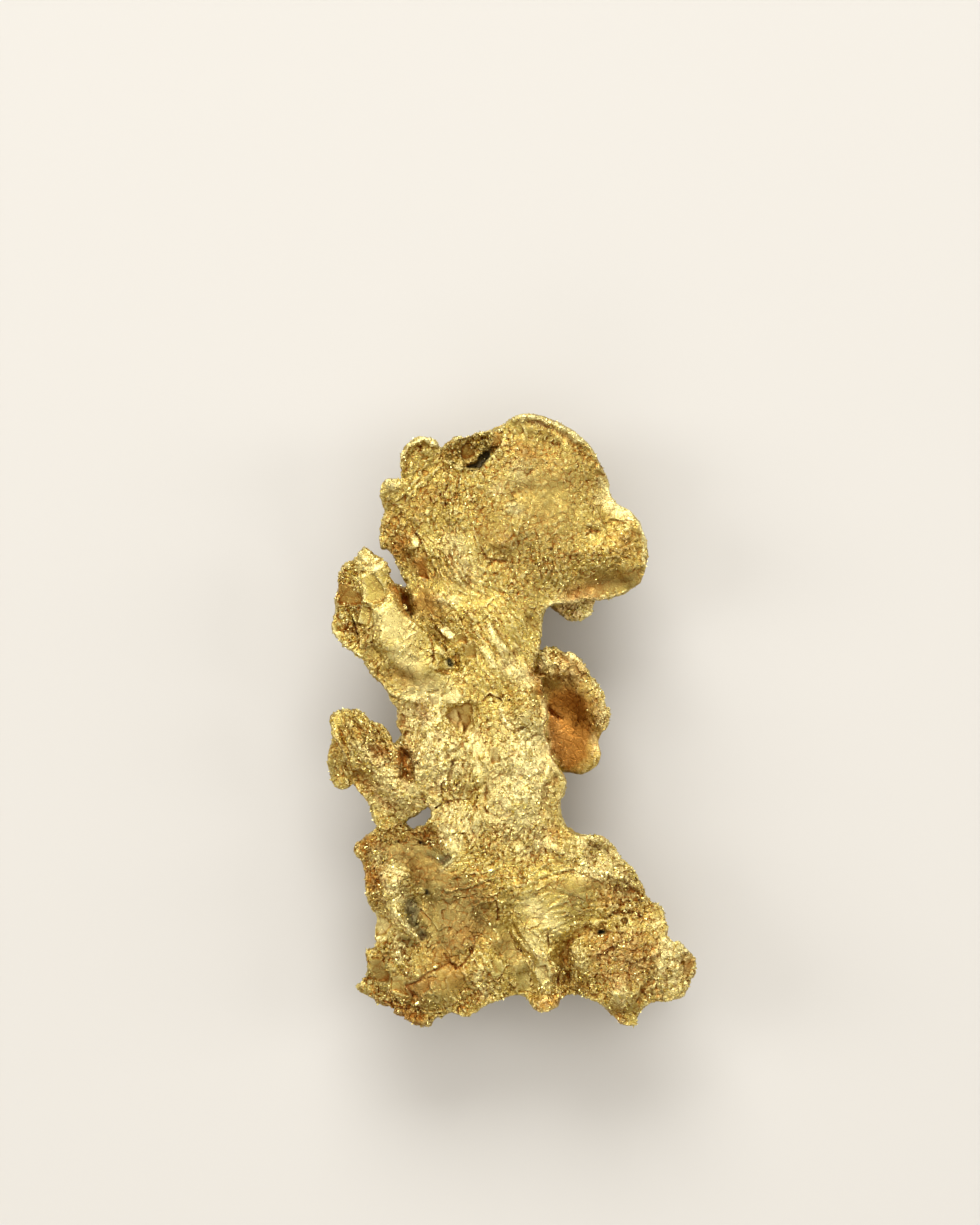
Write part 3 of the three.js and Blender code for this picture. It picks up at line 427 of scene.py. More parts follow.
# Broken edges of layers: (rise, reach, line). The left of the line stands above its right.
LEDGES = [
    (-0.16, 0.5, [(-5.55, 3.1), (-5.5, 3.9), (-5.6, 4.5), (-5.1, 4.65), (-5.0, 5.0), (-4.8, 5.3)]),
    (0.12, 0.4, [(-6.15, 5.9), (-6.0, 5.2), (-5.95, 4.7), (-5.5, 4.6)]),
    (-0.12, 0.4, [(-6.45, 4.15), (-6.2, 3.85), (-5.7, 3.65)]),
    (0.1, 0.5, [(1.6, -6.25), (2.4, -6.0), (3.2, -6.3), (3.8, -6.75)]),
    (0.05, 0.4, [(-3.1, -9.45), (-2.7, -9.4), (-2.4, -9.85), (-1.9, -9.7), (-1.5, -9.0), (-1.4, -8.5)]),
    (0.05, 0.4, [(-4.3, -10.6), (-3.7, -10.4), (-3.1, -10.0), (-2.6, -9.9)]),
    (0.1, 0.5, [(3.1, -9.5), (3.7, -9.4), (4.0, -9.05), (4.7, -8.85)]),
    (0.1, 0.4, [(4.6, -9.75), (5.1, -9.7), (5.5, -9.55), (5.9, -9.4)]),
    (0.12, 0.5, [(-1.1, 0.75), (-0.9, 0.98), (-0.55, 0.9), (-0.3, 0.75), (0.1, 0.9)]),
    (0.07, 0.5, [(-3.2, -3.5), (-2.7, -3.3), (-2.1, -3.2), (-1.5, -3.15)]),
    (0.08, 0.6, [(-1.3, 6.95), (-0.95, 6.45), (-0.6, 6.35), (-0.15, 6.3)]),
    (0.1, 0.5, [(-3.95, 7.8), (-3.75, 7.4), (-3.55, 7.0), (-3.35, 6.3)]),
    (0.12, 0.5, [(-2.65, 0.2), (-2.2, 0.5), (-1.9, 0.65), (-1.6, 0.6), (-1.5, 0.0), (-1.65, -0.5)]),
    (0.1, 0.4, [(3.9, 8.02), (4.5, 7.98), (5.0, 8.02)]),
    (-0.1, 0.4, [(1.45, -8.4), (1.42, -8.8), (1.5, -9.2)]),
    (0.1, 0.5, [(-5.0, -10.75), (-4.8, -10.2), (-5.1, -9.8), (-5.4, -9.5)]),
]

# Deep gaps and hollows between leaves, painted dark as shade: (depth, width of the wall, how dark,
# outline).
GAPS = [
    (0.3, 0.08, 0.9, [(-1.75, 10.2), (-1.5, 10.02), (-1.25, 10.08), (-0.95, 10.4), (-0.8, 10.7),
                      (-1.0, 10.75), (-1.3, 10.6), (-1.4, 10.35)]),
    (0.2, 0.06, 0.9, [(-2.58, 2.4), (-2.4, 2.45), (-2.3, 2.25), (-2.45, 2.15)]),
    (0.14, 0.05, 0.9, [(3.5, -8.45), (3.75, -8.42), (3.72, -8.55), (3.52, -8.56)]),
    (0.06, 0.22, 0.6, [(-4.15, -7.35), (-4.05, -8.15), (-3.8, -8.3), (-3.75, -7.7), (-3.95, -7.25)]),
    (0.06, 0.15, 0.5, [(-3.75, -8.5), (-3.6, -8.85), (-3.4, -8.75), (-3.5, -8.5)]),
    (0.06, 0.1, 0.5, [(-2.95, -5.4), (-2.9, -5.75), (-2.8, -5.8), (-2.4, -5.5)]),
    (0.08, 0.05, 0.8, [(-3.5, -6.88), (-3.46, -7.02), (-3.34, -6.98), (-3.38, -6.84)]),
    (0.08, 0.05, 0.8, [(-3.66, -4.92), (-3.6, -5.02), (-3.54, -4.93)]),
]

# Sunken leaves that close the inner ends of the side slots and of the pocket: (lowest, highest,
# outline, to the left all the way round).
WEBS = [
    (2.2, 3.2, [(-4.7, 4.6), (-4.4, 3.8), (-3.5, 3.8), (-3.7, 5.2), (-4.4, 5.3), (-4.85, 5.45)]),
    (2.4, 3.85, [(-4.6, -1.6), (-4.7, -2.6), (-3.7, -2.6), (-3.8, -1.5), (-4.2, -1.0), (-4.8, -1.0)]),
    (2.6, 3.7, [(-0.8, 10.95), (-0.25, 10.95), (-0.2, 11.65), (-0.5, 11.65), (-0.8, 11.5)]),
]

# Narrow open cracks, reddish with iron oxide: (width, depth, line).
CRACKS = [
    (0.07, 0.1, [(-4.25, -10.6), (-4.05, -10.85), (-3.85, -11.15)]),
    (0.05, 0.06, [(-4.2, -10.6), (-3.7, -10.4), (-3.3, -10.1), (-2.9, -9.95), (-2.6, -9.85)]),
    (0.05, 0.06, [(-2.65, -9.4), (-2.45, -9.8), (-2.2, -9.92), (-1.9, -9.7), (-1.65, -9.3)]),
    (0.05, 0.07, [(-1.65, -9.3), (-1.5, -9.0), (-1.45, -8.6)]),
    (0.045, 0.06, [(-0.7, -7.1), (-0.6, -7.5), (-0.5, -8.0)]),
    (0.045, 0.08, [(3.1, -9.45), (3.7, -9.4), (4.0, -9.05), (4.6, -8.85), (4.8, -8.8)]),
    (0.045, 0.08, [(5.0, -9.7), (5.4, -9.55), (5.9, -9.4)]),
    (0.05, 0.08, [(4.5, -6.4), (4.7, -6.65), (5.0, -6.9)]),
    (0.05, 0.08, [(4.8, -7.7), (5.0, -7.7), (5.15, -7.85)]),
    (0.045, 0.08, [(1.48, -8.5), (1.42, -8.8), (1.48, -9.1)]),
    (0.04, 0.05, [(0.3, -9.2), (0.5, -9.28), (0.75, -9.3)]),
    (0.05, 0.08, [(1.9, -10.3), (1.92, -10.6)]),
    (0.05, 0.05, [(1.5, 0.45), (1.75, 0.2), (2.05, -0.02)]),
    (0.04, 0.05, [(-1.1, 0.75), (-0.9, 0.95), (-0.6, 0.9), (-0.4, 0.75)]),
    (0.04, 0.05, [(0.72, -0.45), (0.85, -0.6), (1.05, -0.6)]),
    (0.05, 0.05, [(-3.0, -3.45), (-2.7, -3.3), (-2.1, -3.2)]),
    (0.06, 0.1, [(-3.6, -3.0), (-3.5, -3.4)]),
    (0.04, 0.05, [(-3.95, 7.7), (-3.75, 7.35), (-3.6, 7.0)]),
    (0.04, 0.06, [(-1.3, 6.9), (-0.95, 6.45), (-0.6, 6.35), (-0.2, 6.3)]),
    (0.05, 0.07, [(0.9, 11.9), (1.2, 11.87), (1.5, 11.7)]),
    (0.04, 0.05, [(3.1, 7.6), (3.3, 7.5), (3.45, 7.45)]),
    (0.04, 0.04, [(-3.3, 3.4), (-3.1, 2.9), (-3.1, 2.4)]),
    (0.05, 0.08, [(-6.35, 4.1), (-6.2, 3.7), (-6.1, 3.4)]),
    (0.05, 0.08, [(3.8, -7.9), (4.05, -7.78), (4.3, -7.7)]),
    (0.05, 0.07, [(-5.1, -11.3), (-4.6, -11.5), (-4.2, -11.6)]),
]

# Lumps and pits: (x, y, radius, height).
LUMPS = [
    (-4.3, -1.5, 0.2, -0.2), (-4.4, -2.2, 0.2, -0.15), (-4.15, -2.1, 0.16, 0.1),
    (-0.3, 7.1, 0.4, 0.1), (0.0, 8.5, 0.3, 0.08), (-0.45, 9.2, 0.3, 0.08), (-4.8, 9.4, 0.3, 0.1),
    (-1.75, 10.75, 0.3, -0.15), (-2.3, 10.7, 0.2, -0.1), (1.9, 11.0, 0.1, -0.12),
    (0.4, 0.2, 0.5, 0.1), (0.45, -0.3, 0.07, -0.08), (0.72, -0.18, 0.07, -0.08),
    (-2.45, 2.25, 0.2, -0.2), (-2.1, 0.1, 0.4, -0.16), (-2.35, -1.3, 0.12, -0.12),
    (-2.55, -1.5, 0.1, -0.12), (-4.95, -1.7, 0.14, -0.16), (-4.7, -2.6, 0.3, 0.12),
    (-4.4, -3.1, 0.28, 0.12), (2.7, -9.4, 0.32, 0.14), (1.25, -11.3, 0.4, 0.12),
    (-1.15, -7.85, 0.5, 0.12), (-4.0, 2.15, 0.6, -0.2), (-4.3, 4.85, 0.2, -0.2),
    (3.6, -8.5, 0.2, -0.2), (3.4, -8.28, 0.16, 0.1), (4.2, -8.27, 0.09, -0.16),
    (4.5, -8.1, 0.1, -0.18), (-3.8, -8.2, 0.1, -0.14), (-3.4, -6.95, 0.09, -0.12),
    (-3.5, -8.7, 0.14, -0.14), (-4.5, -8.2, 0.14, -0.16), (-1.65, -9.15, 0.08, -0.14),
    (3.4, -4.95, 0.12, -0.14), (3.8, -5.2, 0.12, -0.14), (3.3, -5.4, 0.12, -0.1),
    (-3.6, -4.95, 0.08, -0.16), (-4.6, -4.98, 0.08, -0.14), (0.75, 4.0, 0.2, -0.12),
    (-5.15, -8.3, 0.35, -0.12), (6.5, -9.4, 0.35, 0.12), (6.4, -10.3, 0.3, 0.1),
    (6.8, -10.8, 0.2, 0.1), (6.55, -9.75, 0.07, -0.12), (1.3, 2.3, 0.25, 0.1),
    (-2.8, 4.8, 0.15, 0.1), (-2.4, 4.75, 0.13, 0.08), (-0.8, -6.05, 0.14, 0.1),
    (-4.3, -9.3, 0.14, -0.1), (-2.2, -7.35, 0.25, -0.08), (4.35, -10.8, 0.4, 0.1),
    (3.9, -6.1, 0.25, 0.1), (2.8, -5.4, 0.25, 0.1), (2.1, -9.95, 0.08, -0.14),
]

# Flat faces and toned places on the front: (outline, what lies in it). A face is a flat crystal
# face: (slope to the right, slope upwards, sink). A tone or a texture is (amount, soft edge).
PLACES = [
    ([(-2.95, 3.55), (-2.6, 3.75), (-2.2, 3.4), (-2.5, 3.2)],
     {"face": (0.1, -0.25, -0.03), "pale": (1.0, 0.05)}),
    ([(-2.15, 3.45), (-1.8, 3.3), (-1.75, 3.0), (-2.2, 3.1)],
     {"face": (0.2, 0.35, 0.06), "stain": (0.8, 0.06)}),
    ([(-1.9, 3.0), (-1.45, 2.95), (-1.4, 2.5), (-1.85, 2.5)],
     {"face": (0.1, 0.3, 0.04), "stain": (0.7, 0.06)}),
    ([(-7.0, 5.4), (-6.6, 5.5), (-6.2, 5.2), (-5.95, 4.9), (-6.0, 4.6), (-6.9, 4.6)],
     {"face": (0.3, 0.3, 0.08)}),
    ([(-6.0, 5.9), (-5.5, 5.8), (-5.1, 5.3), (-5.1, 4.75), (-5.5, 4.65), (-5.9, 4.8)],
     {"face": (0.05, 0.0, 0.03), "satin": (1.0, 0.06)}),
    ([(-6.0, 4.55), (-5.65, 4.5), (-5.6, 4.0), (-5.75, 3.75), (-6.2, 3.9)],
     {"face": (0.05, 0.05, 0.04), "satin": (1.0, 0.06)}),
    ([(-5.55, 6.0), (-5.2, 6.3), (-5.05, 6.2), (-5.4, 5.9)],
     {"face": (0.1, -0.5, -0.04), "pale": (1.0, 0.05)}),
    ([(-4.05, 7.4), (-3.8, 7.25), (-3.7, 6.9), (-3.95, 6.85)], {"face": (0.15, -0.4, -0.02)}),
    ([(-3.8, 6.3), (-3.45, 6.4), (-3.35, 5.6), (-3.7, 5.7)],
     {"face": (0.15, 0.35, 0.05), "stain": (0.8, 0.06)}),
    ([(-5.7, -9.7), (-5.2, -9.6), (-4.85, -10.2), (-4.95, -10.5), (-5.4, -10.5)],
     {"face": (0.1, 0.35, 0.06), "satin": (0.8, 0.05), "stain": (0.9, 0.06), "film": (0.5, 0.08)}),
    ([(-4.8, -10.3), (-4.4, -10.2), (-4.3, -10.6), (-4.1, -11.1), (-4.8, -10.8)],
     {"face": (0.1, 0.1, 0.04), "satin": (0.9, 0.06), "stain": (0.5, 0.08), "film": (0.45, 0.08)}),
    ([(-3.8, -10.55), (-3.3, -10.3), (-3.3, -10.8), (-3.65, -11.1)], {"face": (-0.1, 0.15, 0.04)}),
    ([(6.95, -9.5), (7.2, -9.6), (7.3, -9.9), (7.1, -10.3), (6.9, -10.2)],
     {"face": (-0.3, 0.3, 0.04), "stain": (0.8, 0.08)}),
    ([(-2.2, 0.5), (-1.65, 0.55), (-1.6, -0.1), (-1.9, -0.45), (-2.0, 0.0)], {"face": (0.1, 0.35, 0.05)}),
    ([(-2.65, 0.15), (-2.25, 0.45), (-2.05, 0.0), (-2.35, -0.2)], {"face": (0.3, 0.1, 0.05)}),
    ([(-2.75, 1.0), (-2.3, 1.25), (-2.0, 1.0), (-2.2, 0.6), (-2.5, 0.6)],
     {"face": (0.1, -0.12, -0.02), "pale": (0.6, 0.1)}),
    ([(-3.4, 0.95), (-3.0, 0.95), (-2.85, 0.6), (-3.2, 0.5)],
     {"face": (0.1, 0.3, 0.04), "stain": (0.8, 0.06)}),
    ([(0.95, -9.9), (1.4, -9.8), (1.5, -10.4), (1.2, -10.6), (0.95, -10.4)], {"face": (0.0, 0.05, 0.03)}),
    ([(-0.85, -9.65), (-0.35, -9.6), (-0.3, -10.05), (-0.6, -10.15)], {"face": (0.1, 0.1, 0.03)}),
    ([(-5.45, -7.9), (-5.0, -7.95), (-4.75, -8.3), (-5.0, -8.65), (-5.4, -8.7)],
     {"face": (0.05, 0.2, 0.05)}),
    ([(-3.0, -5.4), (-2.5, -5.4), (-2.7, -5.75), (-3.0, -5.85)], {"face": (0.2, 0.3, 0.03)}),
    ([(-0.85, -1.05), (-0.45, -1.0), (-0.45, -1.7), (-0.8, -1.75)],
     {"face": (0.1, 0.2, 0.03), "stain": (0.6, 0.1)}),
    ([(4.75, 7.75), (5.05, 7.7), (5.0, 7.3), (4.8, 7.3)],
     {"face": (-0.2, 0.3, 0.04), "stain": (0.7, 0.06)}),
    ([(-2.0, 11.0), (-1.6, 11.0), (-1.5, 10.6), (-1.8, 10.45), (-2.05, 10.6)],
     {"face": (0.1, 0.35, 0.1), "stain": (0.8, 0.06)}),
    ([(-0.78, 11.42), (-0.4, 11.4), (-0.45, 11.05), (-0.75, 11.05)], {"face": (0.2, 0.3, 0.0)}),
    ([(0.0, -4.9), (0.3, -4.7), (0.5, -5.1), (0.2, -5.4)], {"face": (0.1, -0.2, 0.0)}),
    ([(-5.4, 4.5), (-4.9, 4.6), (-4.4, 4.2), (-4.2, 3.6), (-4.8, 2.6), (-5.3, 3.2)],
     {"satin": (0.7, 0.15)}),
    ([(-4.0, 1.9), (-3.0, 2.0), (-2.6, 1.6), (-3.0, 1.1), (-3.9, 1.2)], {"satin": (0.4, 0.2)}),
    ([(-5.1, -5.1), (-4.3, -5.05), (-3.2, -5.2), (-2.9, -5.9), (-2.4, -6.2), (-2.7, -6.8),
      (-3.5, -6.9), (-4.0, -6.6), (-4.1, -6.0), (-4.6, -5.7)],
     {"satin": (0.3, 0.1), "stain": (1.0, 0.15), "film": (0.35, 0.1)}),
    ([(-5.5, -7.8), (-5.0, -7.9), (-4.7, -8.3), (-4.9, -8.7), (-5.4, -8.9)],
     {"satin": (1.0, 0.08), "pale": (0.6, 0.1)}),
    ([(-2.9, -10.0), (-2.0, -10.0), (-2.0, -10.9), (-2.6, -11.3), (-3.1, -10.8)],
     {"satin": (0.7, 0.1), "stain": (0.6, 0.1)}),
    ([(-0.9, -9.6), (-0.3, -9.6), (-0.3, -10.1), (-0.6, -10.25)],
     {"satin": (0.9, 0.06), "film": (0.3, 0.08)}),
    ([(0.8, -9.7), (1.5, -9.7), (1.6, -10.4), (1.2, -10.7), (0.9, -10.5)], {"satin": (0.8, 0.1)}),
    ([(-2.6, 0.2), (-1.95, 0.65), (-1.6, 0.55), (-1.6, -0.4), (-1.9, -0.5), (-2.4, -0.2)],
     {"satin": (0.8, 0.06)}),
    ([(2.2, -6.2), (3.2, -6.3), (3.7, -6.8), (2.9, -7.0), (1.9, -6.9)], {"satin": (0.7, 0.1)}),
    ([(0.0, -7.2), (1.6, -7.3), (2.8, -7.2), (2.6, -8.2), (1.0, -8.4), (0.1, -8.0)],
     {"satin": (0.3, 0.2)}),
    # The down-facing band under the right lobe: its film partly paints shade.
    ([(3.2, 5.6), (4.2, 5.6), (5.1, 5.9), (5.0, 5.5), (4.2, 5.05), (3.3, 4.95)],
     {"satin": (0.4, 0.1), "film": (0.5, 0.1)}),
    ([(-7.0, 5.4), (-6.6, 5.5), (-6.2, 5.2), (-5.95, 4.9), (-6.0, 4.6), (-7.0, 4.6)],
     {"stain": (1.0, 0.06)}),
    ([(-2.65, 0.15), (-1.95, 0.65), (-1.6, 0.55), (-1.6, -0.4), (-1.9, -0.5), (-2.4, -0.2)],
     {"stain": (0.85, 0.06)}),
    # The pocket by the crown's left edge: its stain partly paints shade.
    ([(-0.78, 11.45), (-0.35, 11.4), (-0.5, 10.9), (-0.95, 10.5), (-1.3, 10.6), (-0.8, 11.05)],
     {"stain": (1.0, 0.06)}),
    ([(-3.7, -6.4), (-1.6, -6.2), (-1.0, -7.0), (-1.0, -8.4), (-2.0, -9.3), (-3.5, -9.2)],
     {"stain": (0.8, 0.2), "film": (0.65, 0.3)}),
    ([(3.0, -8.6), (5.8, -8.4), (6.0, -9.6), (5.2, -10.6), (3.2, -10.4)],
     {"stain": (0.3, 0.15), "rust": (0.25, 0.15)}),
    ([(1.5, 1.2), (2.5, 1.3), (3.2, 0.7), (3.3, -0.4), (3.1, -1.6), (2.2, -2.3), (1.5, -1.4), (1.4, 0.3)],
     {"rust": (0.9, 0.25)}),
    ([(1.7, 1.5), (2.9, 1.2), (3.1, 1.7), (2.7, 2.5), (1.9, 2.6)], {"rust": (0.4, 0.25)}),
    ([(-3.9, -10.5), (-3.3, -10.2), (-3.0, -10.3), (-3.4, -10.9), (-3.7, -11.1)], {"rust": (0.4, 0.1)}),
    # The pocket by the crown's left edge: its film partly paints shade.
    ([(-1.35, 10.6), (-0.95, 10.45), (-0.55, 10.85), (-0.6, 11.0), (-1.1, 10.95)], {"film": (0.5, 0.08)}),
    ([(-3.95, 7.4), (-3.8, 7.25), (-3.7, 6.9), (-3.85, 6.85)], {"pale": (0.6, 0.05)}),
]

# Bundles of fine parallel ridges: (x, y, radius, direction in degrees, spacing, height).
STRIATIONS = [
    (1.9, -7.1, 1.9, 16, 0.2, 0.004), (-0.9, -6.5, 1.3, 18, 0.2, 0.005),
    (-4.6, 3.3, 1.3, 48, 0.22, 0.012), (-5.6, -1.1, 1.2, -58, 0.26, 0.02),
    (-0.6, 3.2, 1.2, -54, 0.3, 0.016), (-3.6, -5.4, 1.2, -12, 0.3, 0.012),
    (-2.1, -1.3, 1.3, 80, 0.24, 0.022), (-3.8, 9.5, 0.8, 54, 0.24, 0.014),
    (-2.6, -8.2, 1.1, 78, 0.3, 0.012), (4.4, -10.4, 1.0, -60, 0.3, 0.014),
    (0.6, -5.0, 0.9, 68, 0.26, 0.02), (-1.9, -4.0, 1.0, 78, 0.24, 0.018),
]

# How the grains lie: (x, y, direction in degrees, length over width) of the nearest place holds.
GRAIN = [
    (1.6, 8.8, 0, 1.0), (-2.5, 6.6, -68, 2.0), (-2.2, 8.9, 85, 1.6), (0.5, 6.2, 80, 1.4),
    (-3.7, 9.8, 55, 2.2), (-4.7, 7.5, 60, 1.3), (4.5, 6.8, 20, 1.2), (-0.4, 3.1, -55, 2.2),
    (-2.6, 3.2, -50, 1.2), (-4.7, 3.6, 48, 2.2), (-6.3, 4.8, 0, 1.0), (-3.4, 1.6, 35, 1.5),
    (-3.6, -0.3, 75, 1.5), (-2.0, -1.3, 80, 2.2), (0.4, -2.3, 0, 1.0), (0.4, 0.3, 30, 1.0),
    (-2.0, -3.9, 78, 1.8), (0.8, -4.9, 68, 1.7), (-5.8, -0.9, -58, 2.0), (-4.6, -3.1, -20, 1.3),
    (2.6, 0.0, 70, 1.3), (-4.0, -5.5, -10, 1.6), (-5.5, -6.4, 0, 1.0), (-2.3, -8.2, 80, 1.6),
    (-1.7, -6.5, 18, 2.2), (1.6, -7.2, 16, 2.4), (3.6, -5.8, 0, 1.0), (4.6, -9.2, 0, 1.0),
    (1.0, -9.8, -60, 1.4), (-4.8, -10.6, 0, 1.0), (-1.5, -10.5, -65, 1.8), (6.6, -9.9, 0, 1.0),
    (4.4, -11.3, -60, 1.4), (-1.8, 4.9, -50, 1.5),
]

